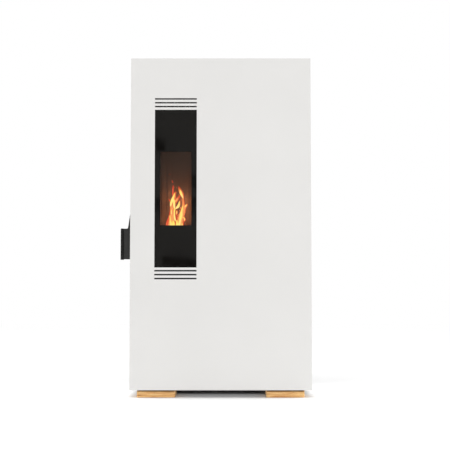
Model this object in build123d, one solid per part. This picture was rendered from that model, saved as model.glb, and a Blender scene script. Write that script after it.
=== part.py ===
from build123d import *
import math
import os

# A slim pellet stove: a white sheet-steel casing on oak feet.  The whole front is the door,
# with a narrow black glass.  The firebox stands on the left, the pellet hopper on the right.
#
# All pieces are laid out in the stove's own coordinates, in millimetres:
#   x from the middle of the casing, + to the right seen from the front
#   y from the front face of the door, + to the rear
#   z from the floor, + up
# save() moves them so that the origin lies on the floor under the middle of the whole stove.

# ---------------------------------------------------------------- driving dimensions
# casing
CASING_WIDTH = 600.0
CASING_HEIGHT = 1102.0
CASING_DEPTH = 380.0
SHEET = 2.0
BASE_SHEET = 3.0
DOOR_FOOT_GAP = 2.0          # the door swings this far above the feet
TOUCH = 0.3                  # gap between pieces that pass close by
FIT = 0.08                   # radial clearance of a pin or shaft in its bore
HOLE_GAP = 1.0               # clearance round a pipe that passes through a sheet

# grooves of the vermiculite liners
LINER_GROOVES = 7            # upright grooves in the back liner
LINER_GROOVE_START = 12.0    # above the burn pot's holder
GROOVE_WIDTH = 5.0
GROOVE_DEPTH = 4.0
BAFFLE_SETBACK = 38.0        # gap in front of the baffle, for the smoke
BAFFLE_GROOVES = 5
BAFFLE_GROOVE_RADIUS = 3.0

# ash drawer's front, grip and runners
DRAWER_MARGIN = 4.0          # the front beyond its opening
DRAWER_FRONT_THICK = 2.0
DRAWER_GRIP_LENGTH = 60.0
DRAWER_GRIP = (3.0, 4.0, 8.0)    # depth, height, and height above the drawer's bottom
DRAWER_RUNNER_INSET = 8.0
DRAWER_RUNNER_WIDTH = 6.0
DRAWER_RUNNER_START = 10.0

# air slots in the casing's sheets
BASE_SLOTS = 10              # under the warm air fan
BASE_SLOT_WIDTH = 6.0
BASE_SLOT_LENGTH = 100.0
BASE_SLOT_MARGIN = 150.0     # from the casing's sides
BASE_SLOT_FROM_REAR = 70.0
TOP_SLOTS = 9                # in the top panel, behind the control panel
TOP_SLOT_LENGTH = 160.0
TOP_SLOT_START = 190.0
TOP_SLOT_PITCH = 16.0
TOP_SLOT_WIDTH = 6.0
REAR_SLOTS = 8               # in each of the three fields of the rear panel
REAR_SLOT_PITCH = 14.0
REAR_SLOT_HEIGHT = 5.0
REAR_HIGH_HALF = 60.0        # half the length of the two upper fields
REAR_HIGH_DROP = 120.0       # their top slot below the casing's top
REAR_HIGH_RIGHT = 150.0      # the right one's middle from the casing's side
REAR_LOW_HALF = 70.0
REAR_LOW_DROP = 50.0         # the lowest slot below the warm air fan's axis
CUT = 5.0                    # a cutter's reach beyond a thin sheet, each way

# screws of the casing
SCREW_STEM_RADIUS = 2.5
SCREW_PLAY = 0.1             # of a stem in its hole
SIDE_FOLD = 16.0             # folded rear edge of a side panel
CASING_SCREW_INSET = 9.0
CASING_SCREW_ROWS = 5
CASING_SCREW_MARGIN = 40.0   # from the rear panel's lower and upper edge
CABLE_HOLE = 40.0            # square hole in the partition for the wiring
CABLE_HOLE_FROM_REAR = 50.0
CABLE_HOLE_DROP = 260.0      # below the casing's top

# oak feet
FOOT_HEIGHT = 23.0
FOOT_WIDTH = 126.0
FOOT_LENGTH = 100.0
FOOT_INSET = 24.0            # from the casing's side
FOOT_SETBACK = 15.0          # from the front and rear faces
FOOT_ROUND = 4.0

# door panel with its window and slots
DOOR_DEPTH = 20.0
DOOR_GAP = 4.5               # joint between the door's folded edge and the casing
DOOR_CORNER = 1.2
WINDOW_FROM_LEFT = 150.3     # middle of the window from the casing's left side
WINDOW_WIDTH = 139.5
WINDOW_HEIGHT = 526.0
WINDOW_SILL = 427.0          # lower edge above the floor
SLOT_HEIGHT = 5.0
SLOT_PITCH = 12.9
SLOT_COUNT = 3
SLOT_START = 10.6            # from the window's edge to the middle of the first slot
STIFFENER_WIDTH = 40.0
STIFFENER_DEPTH = 10.0
STIFFENER_COUNT = 2

# door glass, its frame and its seals
GLASS_THICK = 4.0
GLASS_LAP = 4.0              # the glass behind the panel's edge
TAPE_THICK = 1.0
DOOR_FRAME_WIDTH = 200.0
DOOR_FRAME_BAR = 36.0
ROPE_DIAMETER = 10.0
ROPE_CORNER = 16.0
SEAL_SPACE = 6.0             # from the door's back to the firebox's front flange
STUD_DIAMETER = 6.0

# door hinge
HINGE_FROM_SIDE = 10.0
HINGE_PIN_DIAMETER = 6.0
HINGE_ARM_WIDTH = 10.0
HINGE_ARM_THICK = 5.0
HINGE_FROM_END = 34.0        # arm below the casing's top and above its bottom
HINGE_SWEEP_GAP = 2.5        # room above and below an arm in the folded edge

# handle and latch
HANDLE_REACH = 31.2          # beyond the casing's left side
HANDLE_LIP = 7.8             # width of the leaning lip, seen from the front
HANDLE_LIP_LEAN = 11.5       # how far the lip leans forward
HANDLE_BOTTOM = 454.5
HANDLE_GRIP = 102.0          # height of the grip
HANDLE_TAPER_TOP = 610.0
HANDLE_TAPER_TIP = 0.6       # width of the taper at its top
HANDLE_TAPER_FOOT = 8.5      # width of the taper just above the grip
HANDLE_SHEET = 2.0
HANDLE_LIP_DROP = 1.8        # the lip ends this far below the web
HANDLE_CORNER = 4.0
HANDLE_SLEEVE_WALL = 3.0
HANDLE_SLEEVE_INSET = 5.0    # from the web's ends
ROD_DIAMETER = 10.0
ROD_FROM_SIDE = 24.0
ROD_BOTTOM = 400.0
ROD_LENGTH = 580.0
HOOK_THICK = 5.0
HOOK_WINDOW = 38.0           # width of the claw's window in the inner front plate
HOOK_FROM_END = 12.0
HOOK_REACH = 34.0            # rod axis to the back of the claw
CATCH_PIN_DIAMETER = 8.0
CATCH_PIN_ACROSS = 16.0      # catch pin from the rod axis, sideways
BRACKET_THICK = 4.0
BRACKET_FROM_END = 34.0

# firebox
FIREBOX_WIDTH = 200.0
FIREBOX_DEPTH = 220.0
FIREBOX_BOTTOM = 340.0
FIREBOX_HEIGHT = 660.0
FIREBOX_WALL = 4.0
FLANGE_LIP = 10.0            # flange beyond the box, all round
OPENING_WIDTH = 136.0
OPENING_BOTTOM = 455.0
OPENING_HEIGHT = 470.0
GAS_CHANNEL = 22.0           # behind the inner rear wall
INNER_WALL = 3.0
LINER_THICK = 14.0
LINER_TOP = 900.0
BAFFLE_THICK = 18.0
TUBE_DIAMETER = 32.0
TUBE_WALL = 2.0
TUBE_COUNT = 4
TUBE_PITCH = 38.0

# burn pot
POT_WIDTH = 106.0
POT_DEPTH_SHARE = 0.53       # of the chamber's depth, from the flange to the back liner
POT_FRONT_SHARE = 0.343      # from the flange's face to the pot's front, of the same depth
POT_TOP = 566.0
POT_HEIGHT = 66.0
POT_WALL = 5.0
POT_RIM = 9.0
POT_RIM_THICK = 4.0
POT_RIM_DROP = 14.0          # from the pot's top edge down to the top of its rim
POT_HOLE_PITCH = 18.0        # air holes, across
POT_HOLE_ROWS = 4            # air holes, from front to rear
POT_HOLE_COLUMNS = 5
GRATE_HOLE_RADIUS = 3.5
WALL_HOLE_RADIUS = 2.5
SEAT_PLAY = 3.0              # pot to holder, all round
HOLDER_WALL = 3.0
IGNITER_DIAMETER = 10.0
IGNITER_DROP = 22.0          # from the burn pot's underside down to the igniter's axis
INTAKE_DIAMETER = 50.0
INTAKE_WALL = 1.5
INTAKE_REACH = 40.0          # beyond the rear panel
STOP_RING = 3.0              # height and width of the stop rings on both pipes

# ash drawer
DRAWER_WIDTH = 176.0
DRAWER_HEIGHT = 76.0
DRAWER_LENGTH = 130.0
DRAWER_WALL = 2.0
DRAWER_GAP = 1.5

# pellet side
PARTITION_GAP = 16.0         # between the firebox and the partition
HOPPER_WALL = 1.5
HOPPER_MARGIN = 6.0          # hopper from the partition and the side panel
HOPPER_FRONT = 60.0
HOPPER_DEPTH = 270.0
HOPPER_NECK_TOP = 625.0
HOPPER_FUNNEL_TOP = 790.0
HOPPER_DROP = 24.0           # hopper's top edge below the casing's top
LID_HINGE_INSET = 50.0       # middle of a hinge from the lid's side
LID_TONGUE = 30.0            # strap on the lid's top, from the hinge axis
LID_ARM_THICK = 6.0
LID_EAR_THICK = 3.0
LID_EAR_DEPTH = 10.0
LID_FOOT_NEAR = 8.0          # the hinge's foot on the top panel, from the hinge axis
LID_FOOT_FAR = 22.0
LID_SEAL_OUT = 4.0           # rubber ring beyond the lid's rim, and inside it
LID_SEAL_IN = 8.0
GRILLE_DROP = 110.0          # finger guard below the hopper's top edge
GRILLE_RODS = 12
GRILLE_ROD_RADIUS = 2.5
HOPPER_LIP_SIDE = 5.0        # turned-out lip that the lid's seal sits on, left and right
HOPPER_LIP_END = 10.0        # the same lip at the front and the rear
NECK_WIDTH = 56.0
NECK_DEPTH = 44.0
AUGER_FOOT_OUT = 258.7       # lower end of the auger, to the right of the partition
AUGER_FOOT_Z = 500.0
AUGER_LENGTH = 304.0
AUGER_TILT = 45.0
AUGER_BEFORE_POT_BACK = 14.0 # pellets fall this far in front of the pot's back
AUGER_TUBE_BORE = 48.0
AUGER_TUBE_WALL = 2.0
SCREW_DIAMETER = 44.0
SCREW_SHAFT = 16.0
SCREW_PITCH = 38.0
SCREW_BLADE = 3.0
GEARBOX_SIZE = 60.0
GEARBOX_LENGTH = 35.0
GEAR_MOTOR_DIAMETER = 50.0
GEAR_MOTOR_LENGTH = 28.0
CHUTE_WIDTH = 54.0
CHUTE_HEIGHT = 46.0
CHUTE_WALL = 2.0
CHUTE_SLOPE = 40.0
CHUTE_IN_FIREBOX = 24.0      # how far the chute reaches past the firebox wall

# convection fan and its duct
DUCT_WIDTH = 180.0
DUCT_DEPTH = 50.0
DUCT_WALL = 1.5
DUCT_BOTTOM = 255.0
FAN_RADIUS = 62.0
FAN_AXIS_Z = 185.0
FAN_WALL = 1.5
FAN_LEG_HALF = 25.0
FAN_MOTOR_ROUND = 4.0
FAN_SHAFT_IN_MOTOR = 14.0
CAGE_RING = 12.0             # radial width of the cage's middle ring
CAGE_BLADE = (10.0, 1.2, 25.0)   # depth, thickness and pitch angle of a blade
FAN_SLOTS = 9                # air slots in the fan housing's front
FAN_SLOT_PITCH = 10.0
CAGE_RADIUS = 48.0
CAGE_BLADES = 24
CAGE_SHAFT = 8.0
FAN_MOTOR_DIAMETER = 56.0
FAN_MOTOR_LENGTH = 40.0

# smoke fan and flue
FLUE_DIAMETER = 80.0
FLUE_WALL = 1.5
FLUE_REACH = 45.0            # beyond the rear panel
SCROLL_RADIUS = 72.0
SCROLL_AXIS_Z = 168.0
SCROLL_AXIS_Y = 195.0
SCROLL_FROM_PARTITION = 50.0
SCROLL_WIDTH = 86.0
SCROLL_WALL = 3.0
WHEEL_RADIUS = 60.0
WHEEL_WIDTH = 30.0
WHEEL_BLADES = 8
WHEEL_SHAFT = 8.0
SMOKE_MOTOR_DIAMETER = 70.0
SMOKE_MOTOR_LENGTH = 62.0
COLLECTOR_WALL = 2.0
INLET_DIAMETER = 64.0
INLET_OFFSET = 4.0           # inlet behind the wheel's axis
COLLECTOR_WIDTH = 56.0       # mouth in the firebox's bottom
COLLECTOR_SIDE = 4.0         # from the firebox's right wall
COLLECTOR_FRONT = 12.0       # behind the ash drawer
COLLECTOR_REAR = 8.0         # before the firebox's rear wall
COLLECTOR_FAN_GAP = 12.0     # from the warm air fan's housing and duct
COLLECTOR_UNDER_INLET = 8.0
OUTLET_REACH = 30.0          # the fan's outlet beyond its drum
FLUE_LAP = 20.0              # the flue pipe inside that outlet
SMOKE_FAN_LEGS = (-30.0, 24.0)   # front faces of its legs from the wheel's axis
SMOKE_FAN_LEG_THICK = 6.0
WHEEL_DISC = 2.0
WHEEL_GAP = 4.0              # between the disc and the housing
WHEEL_HUB_RADIUS = 12.0
SMOKE_SHAFT_OUT = 14.0
SMOKE_MOTOR_PLATE = 8.0      # mounting plate beyond the motor, and the motor's stand-off
SMOKE_MOTOR_BOSS_RADIUS = 16.0

# lid, control panel, electrics
LID_GAP = 2.0
LID_RIM = 12.0
LID_SIDE_MARGIN = 12.0
LID_KNUCKLE_RADIUS = 5.0
LID_PIN_DIAMETER = 5.0
LID_KNUCKLE_LENGTH = 30.0
LID_FINGER_WIDTH = 90.0
LID_FINGER_DEPTH = 22.0
PANEL_WIDTH = 150.0
PANEL_DEPTH = 62.0
PANEL_THICK = 3.0
PANEL_WELL_INSET = 9.0       # well below the plate, from the plate's edge
PANEL_WELL_DEPTH = 16.0
PANEL_CORNER = 5.0
PANEL_EDGE_ROUND = 1.0
PANEL_FLOOR = 1.0            # plastic left under the display
BUTTONS_FROM_DISPLAY = 12.0
DISPLAY_FROM_LEFT = 14.0
BUTTON_EDGE_ROUND = 0.8
PANEL_FROM_FRONT = 60.0
DISPLAY_WIDTH = 56.0
DISPLAY_DEPTH = 26.0
BUTTON_DIAMETER = 12.0
BUTTON_HEIGHT = 6.0
BUTTON_PROUD = 1.6
BUTTON_TRAVEL = 1.0
BUTTON_PITCH = 20.0
BOX_WIDTH = 56.0
BOX_DEPTH = 180.0
BOX_HEIGHT = 190.0
BOX_BOTTOM = 70.0
BOX_FRONT = 110.0
BOX_ROUND = 4.0
BOX_SLOTS = 6                # cooling slots in its inner face
BOX_SLOT_START = 120.0       # above its bottom
BOX_SLOT_PITCH = 8.0
BOX_SLOT_WIDTH = 3.0
BOX_SLOT_INSET = 30.0        # from its front
BOX_SLOT_LENGTH = 120.0
INLET_SOCKET_WIDTH = 28.0
INLET_SOCKET_HEIGHT = 48.0
INLET_SOCKET_DEPTH = 26.0
INLET_FROM_SIDE = 70.0
INLET_Z = 110.0
INLET_RIM = 5.0              # frame round the inlet, beyond its body
INLET_RIM_THICK = 3.0
INLET_CAVITY_HALF = (10.0, 7.0)
INLET_CAVITY_DEPTH = 14.0
INLET_BLADE_PITCH = 6.0
SOCKET_BELOW_MIDDLE = 11.0
ROCKER_ABOVE_MIDDLE = 12.0
ROCKER_LENGTH = 20.0
ROCKER_WELL_HALF = (10.5, 8.0)
ROCKER_PIN_RADIUS = 1.5
ROCKER_PIN_HALF = 12.3
ROCKER_HOLLOW_RADIUS = 11.0
ROCKER_TILT = 7.0
SCREW_HEAD_DIAMETER = 8.0
SCREW_HEAD_HEIGHT = 2.0

# ---------------------------------------------------------------- places worked out
LEFT = -CASING_WIDTH / 2
RIGHT = CASING_WIDTH / 2
BASE_TOP = FOOT_HEIGHT + BASE_SHEET
BOTTOM = FOOT_HEIGHT + DOOR_FOOT_GAP
TOP = BOTTOM + CASING_HEIGHT
REAR = CASING_DEPTH
BODY_FRONT = DOOR_DEPTH + DOOR_GAP
SEAL_Y = DOOR_DEPTH + SEAL_SPACE
PLATE_Y = SEAL_Y + FIREBOX_WALL            # front face of the inner front plate
PLATE_BACK = PLATE_Y + SHEET
WINDOW_X = LEFT + WINDOW_FROM_LEFT
WINDOW_TOP = WINDOW_SILL + WINDOW_HEIGHT
WINDOW_Z = (WINDOW_SILL + WINDOW_TOP) / 2
GLASS_Y = SHEET + TAPE_THICK
GLASS_BACK = GLASS_Y + GLASS_THICK
FIREBOX_TOP = FIREBOX_BOTTOM + FIREBOX_HEIGHT
FIREBOX_REAR = PLATE_Y + FIREBOX_DEPTH
FIREBOX_RIGHT = WINDOW_X + FIREBOX_WIDTH / 2
FIREBOX_LEFT = WINDOW_X - FIREBOX_WIDTH / 2
INNER_REAR = FIREBOX_REAR - FIREBOX_WALL - GAS_CHANNEL       # back of the inner rear wall
CHAMBER_BACK = INNER_REAR - INNER_WALL                       # its front face
CHAMBER_FLOOR = OPENING_BOTTOM - FIREBOX_WALL                # underside of the chamber floor
TUBE_Z = WINDOW_TOP + SLOT_START + SLOT_PITCH
CHAMBER_DEPTH = CHAMBER_BACK - LINER_THICK - SEAL_Y          # flange to back liner
POT_DEPTH = POT_DEPTH_SHARE * CHAMBER_DEPTH
POT_FRONT = SEAL_Y + POT_FRONT_SHARE * CHAMBER_DEPTH
POT_Y = POT_FRONT + POT_DEPTH / 2
POT_FLOOR = POT_TOP - POT_HEIGHT
RIM_Z = POT_TOP - POT_RIM_DROP                               # top of the pot's rim
SEAT_Z = RIM_Z - POT_RIM_THICK                               # the rim rests at this height
HOLDER_WIDTH = POT_WIDTH + 2 * (POT_RIM + SEAT_PLAY)
HOLDER_DEPTH = POT_DEPTH + 2 * (POT_RIM + SEAT_PLAY)
IGNITER_Z = POT_FLOOR - IGNITER_DROP
INTAKE_Z = OPENING_BOTTOM + INTAKE_DIAMETER / 2 + 8
PARTITION_X = FIREBOX_RIGHT + PARTITION_GAP
HINGE_X = RIGHT - HINGE_FROM_SIDE
HINGE_Y = DOOR_DEPTH / 2
ROD_X = LEFT + ROD_FROM_SIDE
ROD_Y = DOOR_DEPTH / 2 + 4
AUGER_FOOT_X = PARTITION_X + AUGER_FOOT_OUT
AUGER_Y = POT_FRONT + POT_DEPTH - AUGER_BEFORE_POT_BACK
AUGER_PLANE = Plane(
    origin=(AUGER_FOOT_X, AUGER_Y, AUGER_FOOT_Z),
    x_dir=(0, 1, 0),
    z_dir=(-math.sin(math.radians(AUGER_TILT)), 0, math.cos(math.radians(AUGER_TILT))),
)
AUGER_TUBE_RADIUS = AUGER_TUBE_BORE / 2 + AUGER_TUBE_WALL
HOPPER_LEFT = PARTITION_X + SHEET + HOPPER_MARGIN
HOPPER_RIGHT = RIGHT - SHEET - HOPPER_MARGIN
HOPPER_REAR = HOPPER_FRONT + HOPPER_DEPTH
HOPPER_TOP = TOP - HOPPER_DROP
LID_LEFT = HOPPER_LEFT + LID_SIDE_MARGIN
LID_RIGHT = HOPPER_RIGHT - LID_SIDE_MARGIN
LID_FRONT = HOPPER_FRONT + LID_SIDE_MARGIN
LID_REAR = HOPPER_REAR - LID_SIDE_MARGIN
FAN_AXIS_Y = FIREBOX_REAR + DUCT_DEPTH - FAN_RADIUS
SCROLL_X = PARTITION_X + SHEET + SCROLL_FROM_PARTITION
SCROLL_MID_X = SCROLL_X + SCROLL_WIDTH / 2
FLUE_Z = SCROLL_AXIS_Z - SCROLL_RADIUS + SCROLL_WALL + FLUE_DIAMETER / 2
PANEL_X = WINDOW_X
PANEL_Y = PANEL_FROM_FRONT + PANEL_DEPTH / 2
INLET_X = RIGHT - INLET_FROM_SIDE


# ---------------------------------------------------------------- small helpers
def block(x0, x1, y0, y1, z0, z1):
    """A box between two limits on each axis."""
    size = Box(x1 - x0, y1 - y0, z1 - z0)
    return Pos((x0 + x1) / 2, (y0 + y1) / 2, (z0 + z1) / 2) * size


def bar_x(radius, x0, x1, y, z):
    return Pos((x0 + x1) / 2, y, z) * Rot(0, 90, 0) * Cylinder(radius, x1 - x0)


def bar_y(radius, x, y0, y1, z):
    return Pos(x, (y0 + y1) / 2, z) * Rot(90, 0, 0) * Cylinder(radius, y1 - y0)


def bar_z(radius, x, y, z0, z1):
    return Pos(x, y, (z0 + z1) / 2) * Cylinder(radius, z1 - z0)


def shell(x0, x1, y0, y1, z0, z1, wall):
    """A closed hollow box."""
    inside = block(x0 + wall, x1 - wall, y0 + wall, y1 - wall, z0 + wall, z1 - wall)
    return block(x0, x1, y0, y1, z0, z1) - inside


def total(shapes):
    """Join a list of shapes into one."""
    joined = shapes[0]
    for shape in shapes[1:]:
        joined = joined + shape
    return joined


def slot_heights():
    """Middle heights of the slots below and above the window."""
    steps = [SLOT_START + SLOT_PITCH * index for index in range(SLOT_COUNT)]
    return [WINDOW_SILL - step for step in steps] + [WINDOW_TOP + step for step in steps]


def save(name, shape):
    """Write one node, moved so that the origin is under the middle of the stove."""
    reach = max(FLUE_REACH, INTAKE_REACH)
    moved = Pos(HANDLE_REACH / 2, -(CASING_DEPTH + reach) / 2, 0) * shape
    export_step(moved, f"parts/{name}.step")


# ---------------------------------------------------------------- casing
def foot(left_side, front):
    x0 = LEFT + FOOT_INSET if left_side else RIGHT - FOOT_INSET - FOOT_WIDTH
    y0 = FOOT_SETBACK if front else REAR - FOOT_SETBACK - FOOT_LENGTH
    body = block(x0, x0 + FOOT_WIDTH, y0, y0 + FOOT_LENGTH, 0, FOOT_HEIGHT)
    body = fillet(body.edges().filter_by(Axis.Z), FOOT_ROUND)
    return fillet(body.faces().sort_by(Axis.Z)[0].edges(), FOOT_ROUND / 2)


def foot_middle(left_side, front):
    x = LEFT + FOOT_INSET + FOOT_WIDTH / 2
    y = FOOT_SETBACK + FOOT_LENGTH / 2
    return (x if left_side else -x, y if front else REAR - y)


def base_plate():
    plate = block(LEFT + SHEET, RIGHT - SHEET, SEAL_Y, REAR - SHEET, FOOT_HEIGHT, BASE_TOP)
    rear = REAR - BASE_SLOT_FROM_REAR
    half = BASE_SLOT_WIDTH / 2
    for index in range(BASE_SLOTS):
        x = LEFT + BASE_SLOT_MARGIN
        x += index * (CASING_WIDTH - 2 * BASE_SLOT_MARGIN) / (BASE_SLOTS - 1)
        plate -= block(x - half, x + half, rear - BASE_SLOT_LENGTH, rear, FOOT_HEIGHT - 1, BASE_TOP + 1)
    for left_side in (True, False):
        for front in (True, False):
            x, y = foot_middle(left_side, front)
            for shift in (-FOOT_WIDTH / 4, FOOT_WIDTH / 4):
                plate -= bar_z(SCREW_STEM_RADIUS + SCREW_PLAY, x + shift, y, FOOT_HEIGHT - 1, BASE_TOP + 1)
    return plate


def foot_screws():
    screws = []
    for left_side in (True, False):
        for front in (True, False):
            x, y = foot_middle(left_side, front)
            for shift in (-FOOT_WIDTH / 4, FOOT_WIDTH / 4):
                head = bar_z(SCREW_HEAD_DIAMETER / 2, x + shift, y, BASE_TOP, BASE_TOP + SCREW_HEAD_HEIGHT)
                stem = bar_z(SCREW_STEM_RADIUS, x + shift, y, FOOT_HEIGHT, BASE_TOP)
                screws.append(head + stem)
    return Compound(screws)


def side_panel(left_side):
    """Sheet with a folded edge towards the inside at the rear."""
    outer = LEFT if left_side else RIGHT
    inward = 1 if left_side else -1
    inner = outer + inward * SHEET
    fold = outer + inward * SIDE_FOLD
    x0, x1 = sorted((outer, inner))
    panel = block(x0, x1, BODY_FRONT, REAR, FOOT_HEIGHT, TOP - SHEET)
    f0, f1 = sorted((inner, fold))
    return panel + block(f0, f1, REAR - 2 * SHEET, REAR - SHEET, BASE_TOP, TOP - SHEET)


def top_panel():
    panel = block(LEFT, RIGHT, BODY_FRONT, REAR, TOP - SHEET, TOP)
    gap = LID_GAP
    panel -= block(LID_LEFT - gap, LID_RIGHT + gap, LID_FRONT - gap, LID_REAR + gap, TOP - CUT, TOP + CUT)
    half = TOP_SLOT_LENGTH / 2
    for index in range(TOP_SLOTS):
        y = TOP_SLOT_START + index * TOP_SLOT_PITCH
        panel -= block(WINDOW_X - half, WINDOW_X + half, y, y + TOP_SLOT_WIDTH, TOP - CUT, TOP + CUT)
    margin = PANEL_WELL_INSET - 1
    panel -= block(
        PANEL_X - PANEL_WIDTH / 2 + margin, PANEL_X + PANEL_WIDTH / 2 - margin,
        PANEL_Y - PANEL_DEPTH / 2 + margin, PANEL_Y + PANEL_DEPTH / 2 - margin,
        TOP - CUT, TOP + CUT,
    )
    return panel


def rear_panel():
    panel = block(LEFT + SHEET, RIGHT - SHEET, REAR - SHEET, REAR, BASE_TOP, TOP - SHEET)
    radius = FLUE_DIAMETER / 2 + HOLE_GAP
    panel -= bar_y(radius, SCROLL_MID_X, REAR - CUT, REAR + CUT, FLUE_Z)
    radius = INTAKE_DIAMETER / 2 + HOLE_GAP
    panel -= bar_y(radius, intake_x(), REAR - CUT, REAR + CUT, INTAKE_Z)
    panel -= block(
        INLET_X - INLET_SOCKET_WIDTH / 2, INLET_X + INLET_SOCKET_WIDTH / 2,
        REAR - CUT, REAR + CUT,
        INLET_Z - INLET_SOCKET_HEIGHT / 2, INLET_Z + INLET_SOCKET_HEIGHT / 2,
    )
    field = (REAR_SLOTS - 1) * REAR_SLOT_PITCH
    for x, half, lowest in (
        (WINDOW_X, REAR_HIGH_HALF, TOP - REAR_HIGH_DROP - field),
        (RIGHT - REAR_HIGH_RIGHT, REAR_HIGH_HALF, TOP - REAR_HIGH_DROP - field),
        (WINDOW_X, REAR_LOW_HALF, FAN_AXIS_Z - REAR_LOW_DROP),
    ):
        for index in range(REAR_SLOTS):
            z = lowest + index * REAR_SLOT_PITCH
            panel -= block(x - half, x + half, REAR - CUT, REAR + CUT, z, z + REAR_SLOT_HEIGHT)
    return panel


def hook_heights():
    """Middle heights of the two latch hooks."""
    return (ROD_BOTTOM + HOOK_FROM_END, ROD_BOTTOM + ROD_LENGTH - HOOK_FROM_END)


def inner_front_plate():
    """The casing's inner front, behind the door."""
    plate = block(LEFT + SHEET, RIGHT - SHEET, PLATE_Y, PLATE_BACK, BASE_TOP, TOP - SHEET)
    plate -= block(
        FIREBOX_LEFT - TOUCH, FIREBOX_RIGHT + TOUCH,
        PLATE_Y - 1, PLATE_BACK + 1,
        FIREBOX_BOTTOM - TOUCH, FIREBOX_TOP + TOUCH,
    )
    for z in hook_heights():
        x0 = ROD_X - HOOK_WINDOW / 2
        x1 = ROD_X + HOOK_WINDOW / 2
        plate -= block(x0, x1, PLATE_Y - 1, PLATE_BACK + 1, z - HOOK_THICK, z + HOOK_THICK)
    return plate


def partition_plate():
    """Wall between the hot side and the pellet side."""
    plate = block(PARTITION_X, PARTITION_X + SHEET, PLATE_BACK, REAR - SHEET, BASE_TOP, TOP - SHEET)
    low_y0, low_y1, low_z0, low_z1 = collector_cut()
    plate -= block(PARTITION_X - 1, PARTITION_X + 5, low_y0, low_y1, low_z0, low_z1)
    plate -= chute_prism(CHUTE_HEIGHT / 2 + HOLE_GAP, CHUTE_WIDTH / 2 + HOLE_GAP)
    rear = REAR - CABLE_HOLE_FROM_REAR
    top = TOP - CABLE_HOLE_DROP
    plate -= block(PARTITION_X - 1, PARTITION_X + 5, rear - CABLE_HOLE, rear, top - CABLE_HOLE, top)
    return plate


def casing_screws():
    """Pan heads round the rear panel, with stems into the folded edges."""
    screws = []
    low = BASE_TOP + CASING_SCREW_MARGIN
    pitch = (TOP - CASING_SCREW_MARGIN - low) / (CASING_SCREW_ROWS - 1)
    for x in (LEFT + CASING_SCREW_INSET, RIGHT - CASING_SCREW_INSET):
        for z in [low + pitch * row for row in range(CASING_SCREW_ROWS)]:
            screws.append(bar_y(SCREW_HEAD_DIAMETER / 2, x, REAR, REAR + SCREW_HEAD_HEIGHT, z))
    return Compound(screws)


# ---------------------------------------------------------------- firebox
def intake_x():
    return WINDOW_X + HOLDER_WIDTH / 4


def igniter_x():
    return WINDOW_X - HOLDER_WIDTH / 4


def tube_places():
    first = WINDOW_X - TUBE_PITCH * (TUBE_COUNT - 1) / 2
    return [first + TUBE_PITCH * index for index in range(TUBE_COUNT)]


def firebox():
    """Welded steel box with a front flange, a chamber floor and an inner rear wall."""
    wall = FIREBOX_WALL
    lip = FLANGE_LIP
    box = shell(FIREBOX_LEFT, FIREBOX_RIGHT, SEAL_Y, FIREBOX_REAR, FIREBOX_BOTTOM, FIREBOX_TOP, wall)
    flange = block(
        FIREBOX_LEFT - lip, FIREBOX_RIGHT + lip, SEAL_Y, PLATE_Y,
        FIREBOX_BOTTOM - lip, FIREBOX_TOP + lip,
    )
    box = box + (flange - block(
        FIREBOX_LEFT + wall, FIREBOX_RIGHT - wall, SEAL_Y - 1, PLATE_Y + 1,
        FIREBOX_BOTTOM + wall, FIREBOX_TOP - wall,
    ))
    floor = block(
        FIREBOX_LEFT + wall, FIREBOX_RIGHT - wall, PLATE_Y, INNER_REAR,
        CHAMBER_FLOOR, OPENING_BOTTOM,
    )
    inner = block(
        FIREBOX_LEFT + wall, FIREBOX_RIGHT - wall, CHAMBER_BACK, INNER_REAR,
        CHAMBER_FLOOR, LINER_TOP,
    )
    box = box + floor + inner
    half = OPENING_WIDTH / 2
    box -= block(
        WINDOW_X - half, WINDOW_X + half, SEAL_Y - 1, PLATE_Y + 1,
        OPENING_BOTTOM, OPENING_BOTTOM + OPENING_HEIGHT,
    )
    gap = DRAWER_GAP
    box -= block(
        WINDOW_X - DRAWER_WIDTH / 2 - gap, WINDOW_X + DRAWER_WIDTH / 2 + gap, SEAL_Y - 1, PLATE_Y + 1,
        drawer_bottom() - gap, drawer_bottom() + DRAWER_HEIGHT + gap,
    )
    box -= block(
        WINDOW_X - POT_WIDTH / 2, WINDOW_X + POT_WIDTH / 2, POT_FRONT, POT_FRONT + POT_DEPTH,
        CHAMBER_FLOOR - 1, OPENING_BOTTOM + 1,
    )
    radius = INTAKE_DIAMETER / 2 + TOUCH
    box -= bar_y(radius, intake_x(), CHAMBER_BACK - 1, FIREBOX_REAR + 1, INTAKE_Z)
    radius = IGNITER_DIAMETER / 2 + TOUCH
    box -= bar_y(radius, igniter_x(), CHAMBER_BACK - 1, FIREBOX_REAR + 1, IGNITER_Z)
    for x in tube_places():
        box -= bar_y(TUBE_DIAMETER / 2, x, SEAL_Y - 1, PLATE_Y + 1, TUBE_Z)
        box -= bar_y(TUBE_DIAMETER / 2, x, FIREBOX_REAR - wall - 1, FIREBOX_REAR + 1, TUBE_Z)
    box -= chute_prism(CHUTE_HEIGHT / 2 + TOUCH, CHUTE_WIDTH / 2 + TOUCH)
    x0, x1, y0, y1 = collector_mouth()
    box -= block(x0, x1, y0, y1, FIREBOX_BOTTOM - 1, FIREBOX_BOTTOM + wall + 1)
    return box


def drawer_bottom():
    return FIREBOX_BOTTOM + FIREBOX_WALL + DRAWER_GAP


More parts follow.
